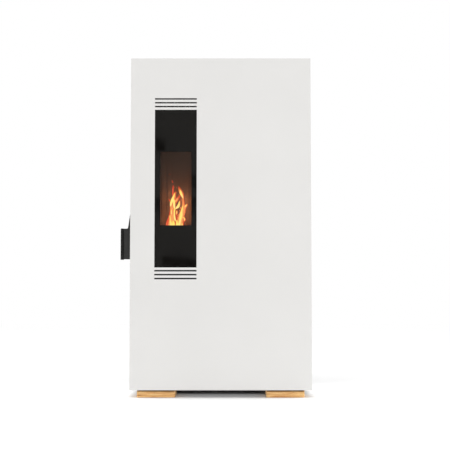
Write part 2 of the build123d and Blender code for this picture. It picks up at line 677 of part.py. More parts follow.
def back_liner():
    """Vermiculite slab with upright grooves, standing against the inner rear wall."""
    side = FIREBOX_WALL + LINER_THICK + TOUCH
    x0 = FIREBOX_LEFT + side
    x1 = FIREBOX_RIGHT - side
    slab = block(x0, x1, CHAMBER_BACK - LINER_THICK, CHAMBER_BACK, OPENING_BOTTOM, LINER_TOP)
    pitch = (x1 - x0) / (LINER_GROOVES + 1)
    front = CHAMBER_BACK - LINER_THICK
    low = holder_top() + LINER_GROOVE_START
    half = GROOVE_WIDTH / 2
    for index in range(LINER_GROOVES):
        x = x0 + pitch * (index + 1)
        slab -= block(x - half, x + half, front - 1, front + GROOVE_DEPTH, low, LINER_TOP + 1)
    radius = INTAKE_DIAMETER / 2 + TOUCH
    slab -= bar_y(radius, intake_x(), front - 1, CHAMBER_BACK + 1, INTAKE_Z)
    radius = IGNITER_DIAMETER / 2 + TOUCH
    slab -= bar_y(radius, igniter_x(), front - 1, CHAMBER_BACK + 1, IGNITER_Z)
    return slab


def side_liners():
    """Two vermiculite slabs; the right one lets the pellet chute through."""
    wall = FIREBOX_WALL
    y1 = CHAMBER_BACK
    left = block(
        FIREBOX_LEFT + wall, FIREBOX_LEFT + wall + LINER_THICK, PLATE_Y, y1, OPENING_BOTTOM, LINER_TOP,
    )
    right = block(
        FIREBOX_RIGHT - wall - LINER_THICK, FIREBOX_RIGHT - wall, PLATE_Y, y1, OPENING_BOTTOM, LINER_TOP,
    )
    right -= chute_prism(CHUTE_HEIGHT / 2 + HOLE_GAP, CHUTE_WIDTH / 2 + HOLE_GAP)
    return Compound([left, right])


def baffle_plate():
    """Vermiculite plate resting on the liners, open at the front so that the smoke turns there."""
    wall = FIREBOX_WALL
    x0 = FIREBOX_LEFT + wall + TOUCH
    x1 = FIREBOX_RIGHT - wall - TOUCH
    front = PLATE_Y + BAFFLE_SETBACK
    plate = block(x0, x1, front, INNER_REAR, LINER_TOP, LINER_TOP + BAFFLE_THICK)
    for index in range(BAFFLE_GROOVES):
        x = x0 + (x1 - x0) * (index + 1) / (BAFFLE_GROOVES + 1)
        plate -= bar_y(BAFFLE_GROOVE_RADIUS, x, front - 1, INNER_REAR + 1, LINER_TOP)
    return plate


def holder_top():
    return SEAT_Z


def burn_pot_holder():
    """Steel seat under the burn pot, open to the ash drawer below."""
    wall = HOLDER_WALL
    x0 = WINDOW_X - HOLDER_WIDTH / 2
    x1 = WINDOW_X + HOLDER_WIDTH / 2
    y0 = POT_Y - HOLDER_DEPTH / 2
    y1 = POT_Y + HOLDER_DEPTH / 2
    seat = block(x0, x1, y0, y1, OPENING_BOTTOM, holder_top())
    seat -= block(x0 + wall, x1 - wall, y0 + wall, y1 - wall, OPENING_BOTTOM - 1, holder_top() - wall)
    half_x = POT_WIDTH / 2 + 1.5
    half_y = POT_DEPTH / 2 + 1.5
    seat -= block(
        WINDOW_X - half_x, WINDOW_X + half_x, POT_Y - half_y, POT_Y + half_y,
        OPENING_BOTTOM, holder_top() + 1,
    )
    seat -= bar_y(INTAKE_DIAMETER / 2 - 3, intake_x(), y1 - 5, y1 + 5, INTAKE_Z)
    seat -= bar_y(IGNITER_DIAMETER / 2 + TOUCH, igniter_x(), y1 - 5, y1 + 5, IGNITER_Z)
    return seat


def burn_pot():
    """Cast cup with a rim, a grate floor and air holes in its walls."""
    half_x = POT_WIDTH / 2
    half_y = POT_DEPTH / 2
    cup = block(WINDOW_X - half_x, WINDOW_X + half_x, POT_Y - half_y, POT_Y + half_y, POT_FLOOR, POT_TOP)
    cup = fillet(cup.edges().filter_by(Axis.Z), 10)
    inside = block(
        WINDOW_X - half_x + POT_WALL, WINDOW_X + half_x - POT_WALL,
        POT_Y - half_y + POT_WALL, POT_Y + half_y - POT_WALL,
        POT_FLOOR + POT_WALL, POT_TOP + 1,
    )
    inside = fillet(inside.edges().filter_by(Axis.Z), 6)
    rim = block(
        WINDOW_X - half_x - POT_RIM, WINDOW_X + half_x + POT_RIM,
        POT_Y - half_y - POT_RIM, POT_Y + half_y + POT_RIM,
        RIM_Z - POT_RIM_THICK, RIM_Z,
    )
    rim = fillet(rim.edges().filter_by(Axis.Z), 8)
    cup = (cup + rim) - inside
    pitch_y = (POT_DEPTH - 4 * POT_WALL) / POT_HOLE_ROWS
    first_x = WINDOW_X - (POT_HOLE_COLUMNS - 1) / 2 * POT_HOLE_PITCH
    first_y = POT_Y - (POT_HOLE_ROWS - 1) / 2 * pitch_y
    columns = [first_x + n * POT_HOLE_PITCH for n in range(POT_HOLE_COLUMNS)]
    rows = [first_y + n * pitch_y for n in range(POT_HOLE_ROWS)]
    for x in columns:
        for y in rows:
            cup -= bar_z(GRATE_HOLE_RADIUS, x, y, POT_FLOOR - 1, POT_FLOOR + POT_WALL + 1)
    z = POT_FLOOR + POT_HEIGHT / 3
    for x in columns:
        cup -= bar_y(WALL_HOLE_RADIUS, x, POT_Y - half_y - 1, POT_Y + half_y + 1, z)
    z = POT_FLOOR + POT_HEIGHT / 2
    for y in rows:
        cup -= bar_x(WALL_HOLE_RADIUS, WINDOW_X - half_x - 1, WINDOW_X + half_x + 1, y, z)
    return cup


def igniter():
    """Ceramic rod with a steel collar behind the firebox."""
    front = POT_Y + POT_DEPTH / 2 - 6
    rod = bar_y(IGNITER_DIAMETER / 2, igniter_x(), front, FIREBOX_REAR + DUCT_DEPTH + 20, IGNITER_Z)
    collar = bar_y(IGNITER_DIAMETER / 2 + 5, igniter_x(), FIREBOX_REAR, FIREBOX_REAR + 6, IGNITER_Z)
    return rod + collar


def intake_pipe():
    """Combustion air pipe from behind the stove to the burn pot's holder."""
    start = POT_Y + HOLDER_DEPTH / 2
    end = REAR + INTAKE_REACH
    outer = bar_y(INTAKE_DIAMETER / 2, intake_x(), start, end, INTAKE_Z)
    outer = outer + bar_y(INTAKE_DIAMETER / 2 + STOP_RING, intake_x(), REAR, REAR + STOP_RING, INTAKE_Z)
    inner = bar_y(INTAKE_DIAMETER / 2 - INTAKE_WALL, intake_x(), start - 1, end + 1, INTAKE_Z)
    return outer - inner


def heat_exchanger_tubes():
    tubes = []
    for x in tube_places():
        outer = bar_y(TUBE_DIAMETER / 2, x, SEAL_Y, FIREBOX_REAR + 4, TUBE_Z)
        inner = bar_y(TUBE_DIAMETER / 2 - TUBE_WALL, x, SEAL_Y - 1, FIREBOX_REAR + 5, TUBE_Z)
        tubes.append(outer - inner)
    return Compound(tubes)


def ash_drawer():
    """Steel tray with a front that covers its opening in the flange."""
    wall = DRAWER_WALL
    x0 = WINDOW_X - DRAWER_WIDTH / 2
    x1 = WINDOW_X + DRAWER_WIDTH / 2
    z0 = drawer_bottom()
    z1 = z0 + DRAWER_HEIGHT
    y0 = SEAL_Y
    y1 = y0 + DRAWER_LENGTH
    tray = block(x0, x1, y0, y1, z0, z1)
    tray -= block(x0 + wall, x1 - wall, y0 + wall, y1 - wall, z0 + wall, z1 + 1)
    margin = DRAWER_GAP + DRAWER_MARGIN
    face = y0 - DRAWER_FRONT_THICK
    front = block(x0 - margin, x1 + margin, face, y0 - TOUCH / 3, z0 - margin, z1 + margin)
    neck = block(x0, x1, y0 - 1, y0 + 1, z0, z1)
    deep, high, low = DRAWER_GRIP
    half = DRAWER_GRIP_LENGTH / 2
    grip = block(WINDOW_X - half, WINDOW_X + half, face - deep, face, z0 + low, z0 + low + high)
    body = tray + front + neck + grip
    start = y0 + DRAWER_RUNNER_START
    for x in (x0 + DRAWER_RUNNER_INSET, x1 - DRAWER_RUNNER_INSET - DRAWER_RUNNER_WIDTH):
        body = body + block(x, x + DRAWER_RUNNER_WIDTH, start, y1, z0 - DRAWER_GAP, z0)
    return body


# ---------------------------------------------------------------- pellet side
def chute_prism(half_height, half_width):
    """Sloping passage from the auger's upper end into the firebox."""
    slope = math.radians(CHUTE_SLOPE)
    end_x = FIREBOX_RIGHT - CHUTE_IN_FIREBOX
    start_x = AUGER_FOOT_X - AUGER_LENGTH * math.sin(math.radians(AUGER_TILT)) + 14
    start_z = AUGER_FOOT_Z + AUGER_LENGTH * math.cos(math.radians(AUGER_TILT)) - 14
    length = (start_x - end_x) / math.cos(slope)
    plane = Plane(
        origin=(start_x, AUGER_Y, start_z),
        x_dir=(0, 1, 0),
        z_dir=(-math.cos(slope), 0, -math.sin(slope)),
    )
    body = Pos(0, 0, length / 2) * Box(2 * half_width, 2 * half_height, length)
    return plane * body


def auger_bar(radius, start, end):
    """A cylinder on the auger's axis, between two distances from its foot."""
    return AUGER_PLANE * (Pos(0, 0, (start + end) / 2) * Cylinder(radius, end - start))


def pellet_chute():
    outer = chute_prism(CHUTE_HEIGHT / 2, CHUTE_WIDTH / 2)
    slope = math.radians(CHUTE_SLOPE)
    inner = chute_prism(CHUTE_HEIGHT / 2 - CHUTE_WALL, CHUTE_WIDTH / 2 - CHUTE_WALL)
    beyond = Pos(-20 * math.cos(slope), 0, -20 * math.sin(slope)) * inner
    return outer - inner - beyond - auger_bar(AUGER_TUBE_RADIUS + TOUCH / 3, -10, AUGER_LENGTH + 40)


def neck_x():
    return AUGER_FOOT_X - NECK_WIDTH / 2 - 14


def auger_tube():
    """Tube with end bearings, a mouth under the hopper and one above the chute."""
    end_wall = 4
    tube = auger_bar(AUGER_TUBE_RADIUS, 0, AUGER_LENGTH)
    tube -= auger_bar(AUGER_TUBE_BORE / 2, end_wall, AUGER_LENGTH - end_wall)
    tube -= auger_bar(SCREW_SHAFT / 2 + FIT, -1, AUGER_LENGTH + 1)
    half_x = NECK_WIDTH / 2 - HOPPER_WALL
    half_y = NECK_DEPTH / 2 - HOPPER_WALL
    middle = neck_x()
    axis_z = AUGER_FOOT_Z + (AUGER_FOOT_X - middle) / math.tan(math.radians(AUGER_TILT))
    mouth = block(
        middle - half_x, middle + half_x, AUGER_Y - half_y, AUGER_Y + half_y,
        axis_z, axis_z + 100,
    )
    mouth -= auger_bar(AUGER_TUBE_RADIUS + 40, -40, end_wall)
    tube -= mouth
    drop = chute_prism(CHUTE_HEIGHT / 2 - CHUTE_WALL, CHUTE_WIDTH / 2 - CHUTE_WALL)
    drop -= auger_bar(AUGER_TUBE_RADIUS + 40, AUGER_LENGTH - end_wall, AUGER_LENGTH + 60)
    return tube - drop


def auger_screw():
    """Shaft with one helical blade."""
    radius = SCREW_SHAFT / 2
    start = 8
    blade_length = AUGER_LENGTH - 2 * start - 4
    mid_radius = (radius - 1 + SCREW_DIAMETER / 2) / 2
    path = Helix(pitch=SCREW_PITCH, height=blade_length, radius=mid_radius)
    section = Plane(origin=path @ 0, z_dir=path % 0, x_dir=(1, 0, 0)) * Rectangle(
        SCREW_DIAMETER / 2 - radius + 1, SCREW_BLADE,
    )
    blade = sweep(section, path=path, is_frenet=True)
    shaft = Pos(0, 0, (AUGER_LENGTH - 12) / 2) * Cylinder(radius, AUGER_LENGTH + 12)
    return AUGER_PLANE * (shaft + Pos(0, 0, start) * blade)


def auger_gearmotor():
    """Gearbox with its motor, bolted to the auger's lower end."""
    depth = 14
    box = Pos(0, 0, -GEARBOX_LENGTH / 2) * Box(GEARBOX_SIZE, GEARBOX_SIZE, GEARBOX_LENGTH)
    box = fillet(box.edges().filter_by(Axis.Z), 5)
    motor_z = -GEARBOX_LENGTH - GEAR_MOTOR_LENGTH / 2
    motor = Pos(0, 0, motor_z) * Cylinder(GEAR_MOTOR_DIAMETER / 2, GEAR_MOTOR_LENGTH)
    bore = Pos(0, 0, -depth / 2 + 1) * Cylinder(SCREW_SHAFT / 2 + FIT, depth + 2)
    return AUGER_PLANE * ((box + motor) - bore)


def rectangle_at(x0, x1, y0, y1, z):
    return Pos((x0 + x1) / 2, (y0 + y1) / 2, z) * Rectangle(x1 - x0, y1 - y0)


def bin_block(inset, bottom, top):
    """The straight upper part of the hopper, or its inside when inset by the wall."""
    return block(
        HOPPER_LEFT + inset, HOPPER_RIGHT - inset, HOPPER_FRONT + inset, HOPPER_REAR - inset,
        bottom, top,
    )


def funnel_and_neck(inset, neck_bottom):
    """The hopper's funnel and neck, or their inside when inset by the wall."""
    nx = NECK_WIDTH / 2 - inset
    ny = NECK_DEPTH / 2 - inset
    middle = neck_x()
    neck_face = rectangle_at(
        middle - nx, middle + nx, AUGER_Y - ny, AUGER_Y + ny, HOPPER_NECK_TOP,
    )
    rim = rectangle_at(
        HOPPER_LEFT + inset, HOPPER_RIGHT - inset, HOPPER_FRONT + inset, HOPPER_REAR - inset,
        HOPPER_FUNNEL_TOP,
    )
    neck = block(
        middle - nx, middle + nx, AUGER_Y - ny, AUGER_Y + ny,
        neck_bottom, HOPPER_NECK_TOP,
    )
    return loft([neck_face, rim], ruled=True) + neck


def hopper():
    """Sheet bin on a funnel, welded rim to rim; the neck stands astride the auger tube."""
    middle = neck_x()
    axis_z = AUGER_FOOT_Z + (AUGER_FOOT_X - middle) / math.tan(math.radians(AUGER_TILT))
    lowest = axis_z - NECK_WIDTH / 2
    bin_walls = bin_block(0, HOPPER_FUNNEL_TOP, HOPPER_TOP)
    flange = block(
        HOPPER_LEFT - HOPPER_LIP_SIDE, HOPPER_RIGHT + HOPPER_LIP_SIDE,
        HOPPER_FRONT - HOPPER_LIP_END, HOPPER_REAR + HOPPER_LIP_END,
        HOPPER_TOP - SHEET, HOPPER_TOP,
    )
    bin_walls = (bin_walls + flange) - bin_block(HOPPER_WALL, HOPPER_FUNNEL_TOP - 1, HOPPER_TOP + 1)
    under = AUGER_PLANE * (Pos(0, 100, 0) * Box(200, 200, 400))
    funnel = funnel_and_neck(0, lowest) - funnel_and_neck(HOPPER_WALL, lowest - 1) - under
    funnel -= auger_bar(AUGER_TUBE_RADIUS + TOUCH / 3, -20, AUGER_LENGTH)
    return Compound([*bin_walls.solids(), *funnel.solids()])


def hopper_grille():
    """Finger guard of welded rods on two side strips, inside the hopper."""
    wall = HOPPER_WALL
    x0 = HOPPER_LEFT + wall
    x1 = HOPPER_RIGHT - wall
    z = HOPPER_TOP - GRILLE_DROP
    strips = [
        block(x0, x1, HOPPER_FRONT + wall, HOPPER_FRONT + wall + 2, z - 6, z + 6),
        block(x0, x1, HOPPER_REAR - wall - 2, HOPPER_REAR - wall, z - 6, z + 6),
    ]
    for index in range(GRILLE_RODS):
        x = x0 + (x1 - x0) * (index + 0.5) / GRILLE_RODS
        strips.append(bar_y(GRILLE_ROD_RADIUS, x, HOPPER_FRONT + wall + 1, HOPPER_REAR - wall - 1, z))
    cross = bar_x(GRILLE_ROD_RADIUS, x0 + 6, x1 - 6, (HOPPER_FRONT + HOPPER_REAR) / 2, z - 3)
    return total(strips) + cross


# ---------------------------------------------------------------- warm air fan and duct
def air_duct():
    """Upright channel on the firebox's rear wall, open to the tubes' rear ends."""
    wall = DUCT_WALL
    x0 = WINDOW_X - DUCT_WIDTH / 2
    x1 = WINDOW_X + DUCT_WIDTH / 2
    y1 = FIREBOX_REAR + DUCT_DEPTH
    top = FIREBOX_TOP + FLANGE_LIP
    duct = block(x0, x1, FIREBOX_REAR, y1, DUCT_BOTTOM, top)
    duct -= block(x0 + wall, x1 - wall, FIREBOX_REAR - 1, y1 - wall, DUCT_BOTTOM - 1, top - wall)
    below = block(x0, x1, FIREBOX_REAR, FIREBOX_REAR + wall, DUCT_BOTTOM, FIREBOX_BOTTOM)
    duct = duct + below
    duct -= bar_y(INTAKE_DIAMETER / 2 + TOUCH, intake_x(), y1 - 5, y1 + 5, INTAKE_Z)
    duct -= bar_y(IGNITER_DIAMETER / 2 + TOUCH, igniter_x(), y1 - 5, y1 + 5, IGNITER_Z)
    return duct


def convection_fan_housing():
    """Drum on a crosswise axis, blowing up into the duct."""
    wall = FAN_WALL
    x0 = WINDOW_X - DUCT_WIDTH / 2
    x1 = WINDOW_X + DUCT_WIDTH / 2
    y1 = FIREBOX_REAR + DUCT_DEPTH
    drum = bar_x(FAN_RADIUS, x0, x1, FAN_AXIS_Y, FAN_AXIS_Z)
    mouth = block(x0, x1, FIREBOX_REAR, y1, FAN_AXIS_Z, DUCT_BOTTOM)
    inner_drum = bar_x(FAN_RADIUS - wall, x0 + wall, x1 - wall, FAN_AXIS_Y, FAN_AXIS_Z)
    inner_mouth = block(
        x0 + wall, x1 - wall, FIREBOX_REAR + wall, y1 - wall, FAN_AXIS_Z, DUCT_BOTTOM + 1,
    )
    housing = (drum + mouth) - inner_drum - inner_mouth
    housing -= bar_x(CAGE_SHAFT / 2 + FIT, x0 - 1, x1 + 1, FAN_AXIS_Y, FAN_AXIS_Z)
    for index in range(FAN_SLOTS):
        z = FAN_AXIS_Z + (index - FAN_SLOTS // 2) * FAN_SLOT_PITCH
        housing -= block(
            x0 + 15, x1 - 15, FAN_AXIS_Y - FAN_RADIUS - 1, FAN_AXIS_Y - 25, z, z + FAN_SLOT_PITCH / 2,
        )
    for x in (x0, x1 - wall):
        leg = block(
            x, x + wall, FAN_AXIS_Y - FAN_LEG_HALF, FAN_AXIS_Y + FAN_LEG_HALF,
            BASE_TOP, FAN_AXIS_Z - FAN_RADIUS + 12,
        )
        housing = housing + (leg - inner_drum)
    return housing


def convection_fan_impeller():
    """Cage of curved blades between rings, on its shaft."""
    x0 = WINDOW_X - DUCT_WIDTH / 2 + 8
    x1 = WINDOW_X + DUCT_WIDTH / 2 - 8
    middle = (x0 + x1) / 2
    pieces = [
        bar_x(CAGE_RADIUS, x0, x0 + 2, FAN_AXIS_Y, FAN_AXIS_Z),
        bar_x(CAGE_RADIUS, x1 - 2, x1, FAN_AXIS_Y, FAN_AXIS_Z),
    ]
    ring = bar_x(CAGE_RADIUS, middle - 1, middle + 1, FAN_AXIS_Y, FAN_AXIS_Z)
    ring -= bar_x(CAGE_RADIUS - CAGE_RING, middle - 2, middle + 2, FAN_AXIS_Y, FAN_AXIS_Z)
    pieces.append(ring)
    deep, thick, angle = CAGE_BLADE
    for index in range(CAGE_BLADES):
        blade = Rot(angle, 0, 0) * Box(x1 - x0 - 2, thick, deep)
        blade = Pos(0, 0, CAGE_RADIUS - CAGE_RING / 2) * blade
        turned = Rot(360 * index / CAGE_BLADES, 0, 0) * blade
        pieces.append(Pos(middle, FAN_AXIS_Y, FAN_AXIS_Z) * turned)
    shaft_start = WINDOW_X - DUCT_WIDTH / 2 - 12
    shaft_end = WINDOW_X + DUCT_WIDTH / 2 + 4
    pieces.append(bar_x(CAGE_SHAFT / 2, shaft_start, shaft_end, FAN_AXIS_Y, FAN_AXIS_Z))
    return total(pieces)


def convection_fan_motor():
    x1 = WINDOW_X - DUCT_WIDTH / 2
    x0 = x1 - FAN_MOTOR_LENGTH
    motor = bar_x(FAN_MOTOR_DIAMETER / 2, x0, x1, FAN_AXIS_Y, FAN_AXIS_Z)
    motor = fillet(motor.faces().sort_by(Axis.X)[0].edges(), FAN_MOTOR_ROUND)
    return motor - bar_x(
        CAGE_SHAFT / 2 + FIT, x1 - FAN_SHAFT_IN_MOTOR, x1 + 1, FAN_AXIS_Y, FAN_AXIS_Z,
    )


# ---------------------------------------------------------------- smoke path
def collector_mouth():
    """The hole in the firebox's bottom, behind the ash drawer."""
    x1 = FIREBOX_RIGHT - FIREBOX_WALL - COLLECTOR_SIDE
    y0 = SEAL_Y + DRAWER_LENGTH + COLLECTOR_FRONT
    return (x1 - COLLECTOR_WIDTH, x1, y0, FIREBOX_REAR - FIREBOX_WALL - COLLECTOR_REAR)


def collector_blocks(inset):
    """Upper box under the firebox and lower box beside the smoke fan."""
    x0, x1, y0, y1 = collector_mouth()
    edge = COLLECTOR_WALL
    ya = y0 - edge + inset
    yb = y1 + edge - inset
    split = FAN_AXIS_Z + FAN_RADIUS + COLLECTOR_FAN_GAP
    upper = block(x0 - edge + inset, SCROLL_X - inset, ya, yb, split + inset, FIREBOX_BOTTOM)
    low = SCROLL_AXIS_Z - INLET_DIAMETER / 2 - COLLECTOR_UNDER_INLET
    left = WINDOW_X + DUCT_WIDTH / 2 + COLLECTOR_FAN_GAP
    lower = block(left + inset, SCROLL_X - inset, ya, yb, low + inset, split + inset)
    return upper, lower


def collector_cut():
    y0, y1 = collector_mouth()[2:]
    edge = COLLECTOR_WALL + HOLE_GAP
    low = SCROLL_AXIS_Z - INLET_DIAMETER / 2 - COLLECTOR_UNDER_INLET
    return (y0 - edge, y1 + edge, low - HOLE_GAP, FIREBOX_BOTTOM + HOLE_GAP)


def smoke_collector():
    """Sheet box that leads the smoke from under the firebox to the smoke fan."""
    upper, lower = collector_blocks(0)
    upper_in, lower_in = collector_blocks(COLLECTOR_WALL)
    top_open = Pos(0, 0, 2) * upper_in
    body = (upper + lower) - (upper_in + lower_in) - top_open
    return body - bar_x(
        INLET_DIAMETER / 2, SCROLL_X - 5, SCROLL_X + 1, smoke_inlet_y(), SCROLL_AXIS_Z,
    )


def smoke_inlet_y():
    return SCROLL_AXIS_Y + INLET_OFFSET


def smoke_fan_housing():
    """Round casing on a crosswise axis with its outlet to the rear."""
    wall = SCROLL_WALL
    x0 = SCROLL_X
    x1 = SCROLL_X + SCROLL_WIDTH
    drum = bar_x(SCROLL_RADIUS, x0, x1, SCROLL_AXIS_Y, SCROLL_AXIS_Z)
    start = SCROLL_AXIS_Y
    end = SCROLL_AXIS_Y + SCROLL_RADIUS + OUTLET_REACH
    outlet = bar_y(FLUE_DIAMETER / 2 + wall, SCROLL_MID_X, start, end, FLUE_Z)
    keep = block(x0, x1, start, end + 1, BASE_TOP, FLUE_Z + 100)
    housing = drum + (outlet & keep)
    inside = bar_x(SCROLL_RADIUS - wall, x0 + wall, x1 - wall, SCROLL_AXIS_Y, SCROLL_AXIS_Z)
    passage = bar_y(FLUE_DIAMETER / 2 - wall, SCROLL_MID_X, start, end + 1, FLUE_Z)
    housing = housing - inside - passage
    housing -= bar_y(FLUE_DIAMETER / 2 + TOUCH / 3, SCROLL_MID_X, end - FLUE_LAP, end + 1, FLUE_Z)
    housing -= bar_x(INLET_DIAMETER / 2, x0 - 1, x0 + wall + 1, smoke_inlet_y(), SCROLL_AXIS_Z)
    housing -= bar_x(WHEEL_SHAFT / 2 + FIT, x1 - wall - 1, x1 + 1, SCROLL_AXIS_Y, SCROLL_AXIS_Z)
    for shift in SMOKE_FAN_LEGS:
        y = SCROLL_AXIS_Y + shift
        leg = block(x0, x1, y, y + SMOKE_FAN_LEG_THICK, BASE_TOP, SCROLL_AXIS_Z)
        housing = housing + (leg - bar_x(SCROLL_RADIUS - 1, x0 - 1, x1 + 1, SCROLL_AXIS_Y, SCROLL_AXIS_Z)
                             - bar_y(FLUE_DIAMETER / 2, SCROLL_MID_X, start, end + 1, FLUE_Z))
    return housing


def smoke_fan_impeller():
    """Disc with radial blades on the motor's shaft."""
    x1 = SCROLL_X + SCROLL_WIDTH - SCROLL_WALL - WHEEL_GAP
    pieces = [bar_x(WHEEL_RADIUS, x1 - WHEEL_DISC, x1, SCROLL_AXIS_Y, SCROLL_AXIS_Z)]
    for index in range(WHEEL_BLADES):
        blade = Box(WHEEL_WIDTH, WHEEL_DISC, WHEEL_RADIUS - 8)
        blade = Pos(-WHEEL_WIDTH / 2, 0, WHEEL_RADIUS / 2 + 3) * blade
        turned = Rot(360 * index / WHEEL_BLADES, 0, 0) * blade
        pieces.append(Pos(x1 - 1, SCROLL_AXIS_Y, SCROLL_AXIS_Z) * turned)
    hub = bar_x(WHEEL_HUB_RADIUS, x1 - WHEEL_WIDTH, x1, SCROLL_AXIS_Y, SCROLL_AXIS_Z)
    shaft_end = SCROLL_X + SCROLL_WIDTH + SMOKE_SHAFT_OUT
    shaft = bar_x(WHEEL_SHAFT / 2, x1 - WHEEL_WIDTH, shaft_end, SCROLL_AXIS_Y, SCROLL_AXIS_Z)
    return total(pieces) + hub + shaft


def smoke_fan_motor():
    x0 = SCROLL_X + SCROLL_WIDTH
    x1 = x0 + SMOKE_MOTOR_LENGTH
    plate_radius = SMOKE_MOTOR_DIAMETER / 2 + SMOKE_MOTOR_PLATE
    start = x0 + SMOKE_MOTOR_PLATE
    motor = bar_x(SMOKE_MOTOR_DIAMETER / 2, start, x1, SCROLL_AXIS_Y, SCROLL_AXIS_Z)
    plate = bar_x(plate_radius, x0, x0 + SHEET, SCROLL_AXIS_Y, SCROLL_AXIS_Z)
    boss = bar_x(SMOKE_MOTOR_BOSS_RADIUS, x0, start + 1, SCROLL_AXIS_Y, SCROLL_AXIS_Z)
    body = motor + plate + boss
    far = x0 + SMOKE_SHAFT_OUT + SHEET
    return body - bar_x(WHEEL_SHAFT / 2 + FIT, x0 - 1, far, SCROLL_AXIS_Y, SCROLL_AXIS_Z)


def flue_spigot():
    """Flue pipe from the smoke fan through the rear panel, with a raised stop ring."""
    start = SCROLL_AXIS_Y + SCROLL_RADIUS + OUTLET_REACH - FLUE_LAP
    end = REAR + FLUE_REACH
    pipe = bar_y(FLUE_DIAMETER / 2, SCROLL_MID_X, start, end, FLUE_Z)
    pipe = pipe + bar_y(FLUE_DIAMETER / 2 + STOP_RING, SCROLL_MID_X, REAR, REAR + STOP_RING, FLUE_Z)
    return pipe - bar_y(FLUE_DIAMETER / 2 - FLUE_WALL, SCROLL_MID_X, start - 1, end + 1, FLUE_Z)


# ---------------------------------------------------------------- lid and its hinge
def lid_hinge_y():
    return LID_REAR + LID_GAP


def lid_hinge_z():
    return TOP + LID_KNUCKLE_RADIUS + 0.5


def lid_hinge_places():
    return (LID_LEFT + LID_HINGE_INSET, LID_RIGHT - LID_HINGE_INSET)


def hopper_lid():
    """Tray lid, flush with the top, with a finger notch and two hinge tongues."""
    lid = block(LID_LEFT, LID_RIGHT, LID_FRONT, LID_REAR, TOP - LID_RIM, TOP)
    lid -= block(
        LID_LEFT + SHEET, LID_RIGHT - SHEET, LID_FRONT + SHEET, LID_REAR - SHEET,
        TOP - LID_RIM - 1, TOP - SHEET,
    )
    middle = (LID_LEFT + LID_RIGHT) / 2
    half = LID_FINGER_WIDTH / 2
    pocket = block(
        middle - half, middle + half, LID_FRONT - 1, LID_FRONT + LID_FINGER_DEPTH,
        TOP - LID_RIM + SHEET, TOP + 1,
    )
    cup = block(
        middle - half - SHEET, middle + half + SHEET, LID_FRONT, LID_FRONT + LID_FINGER_DEPTH + SHEET,
        TOP - LID_RIM, TOP,
    )
    lid = (lid + cup) - pocket
    y = lid_hinge_y()
    z = lid_hinge_z()
    for x in lid_hinge_places():
        half_length = LID_KNUCKLE_LENGTH / 2
        tongue = block(x - half_length, x + half_length, y - LID_TONGUE, y - SHEET, TOP, TOP + SHEET)
        arm = block(x - half_length, x + half_length, y - LID_ARM_THICK, y, TOP, z)
        knuckle = bar_x(LID_KNUCKLE_RADIUS, x - half_length, x + half_length, y, z)
        lid = lid + tongue + (arm - block(x - 99, x + 99, y - 1, y + 9, TOP - 9, TOP + 0.5)) + knuckle
        lid -= bar_x(LID_PIN_DIAMETER / 2 + FIT, x - half_length - 1, x + half_length + 1, y, z)
    return lid


def lid_hinges():
    """Pins held in ears that stand on the top panel."""
    y = lid_hinge_y()
    z = lid_hinge_z()
    hinges = []
    for x in lid_hinge_places():
        reach = LID_KNUCKLE_LENGTH / 2 + TOUCH
        far = reach + LID_EAR_THICK
        pin = bar_x(LID_PIN_DIAMETER / 2, x - far, x + far, y, z)
        foot = block(x - far, x + far, y + LID_FOOT_NEAR, y + LID_FOOT_FAR, TOP, TOP + SHEET)
        hinge = pin + foot
        for side in (-1, 1):
            a, b = sorted((x + side * reach, x + side * far))
            ear = block(a, b, y, y + LID_EAR_DEPTH, TOP, z) + bar_x(LID_KNUCKLE_RADIUS, a, b, y, z)
            hinge = hinge + ear
        hinges.append(hinge)
    return Compound(hinges)


def lid_seal():
    """Flat rubber ring on the hopper's flange, just under the lid's rim."""
    top = TOP - LID_RIM - TOUCH
    out = LID_SEAL_OUT
    back = LID_SEAL_IN
    ring = block(LID_LEFT - out, LID_RIGHT + out, LID_FRONT - out, LID_REAR + out, HOPPER_TOP, top)
    return ring - block(
        LID_LEFT + back, LID_RIGHT - back, LID_FRONT + back, LID_REAR - back, HOPPER_TOP - 1, top + 1,
    )


# ---------------------------------------------------------------- control panel
def button_places():
    start = PANEL_X + DISPLAY_WIDTH / 2 - BUTTONS_FROM_DISPLAY
    return [start + BUTTON_PITCH * index for index in range(3)]


def display_x():
    return PANEL_X - PANEL_WIDTH / 2 + DISPLAY_FROM_LEFT + DISPLAY_WIDTH / 2


def control_panel():
    """Plate on the top panel with wells for the buttons and the display."""
    plate = block(
        PANEL_X - PANEL_WIDTH / 2, PANEL_X + PANEL_WIDTH / 2,
        PANEL_Y - PANEL_DEPTH / 2, PANEL_Y + PANEL_DEPTH / 2, TOP, TOP + PANEL_THICK,
    )
    plate = fillet(plate.edges().filter_by(Axis.Z), PANEL_CORNER)
    plate = fillet(plate.faces().sort_by(Axis.Z)[-1].edges(), PANEL_EDGE_ROUND)
    half_x = PANEL_WIDTH / 2 - PANEL_WELL_INSET
    half_y = PANEL_DEPTH / 2 - PANEL_WELL_INSET
    well = block(
        PANEL_X - half_x, PANEL_X + half_x, PANEL_Y - half_y, PANEL_Y + half_y,
        TOP - PANEL_WELL_DEPTH, TOP,
    )
    plate = plate + well
    half = DISPLAY_WIDTH / 2 + TOUCH / 3
    deep = DISPLAY_DEPTH / 2 + TOUCH / 3
    x = display_x()
    plate -= block(x - half, x + half, PANEL_Y - deep, PANEL_Y + deep, TOP + PANEL_FLOOR, TOP + CUT)
    for x in button_places():
        hole = BUTTON_DIAMETER / 2 + TOUCH
        deep = TOP + PANEL_THICK + BUTTON_PROUD - BUTTON_HEIGHT - BUTTON_TRAVEL - TOUCH
        plate -= bar_z(hole, x, PANEL_Y, deep, TOP + CUT)
    return plate


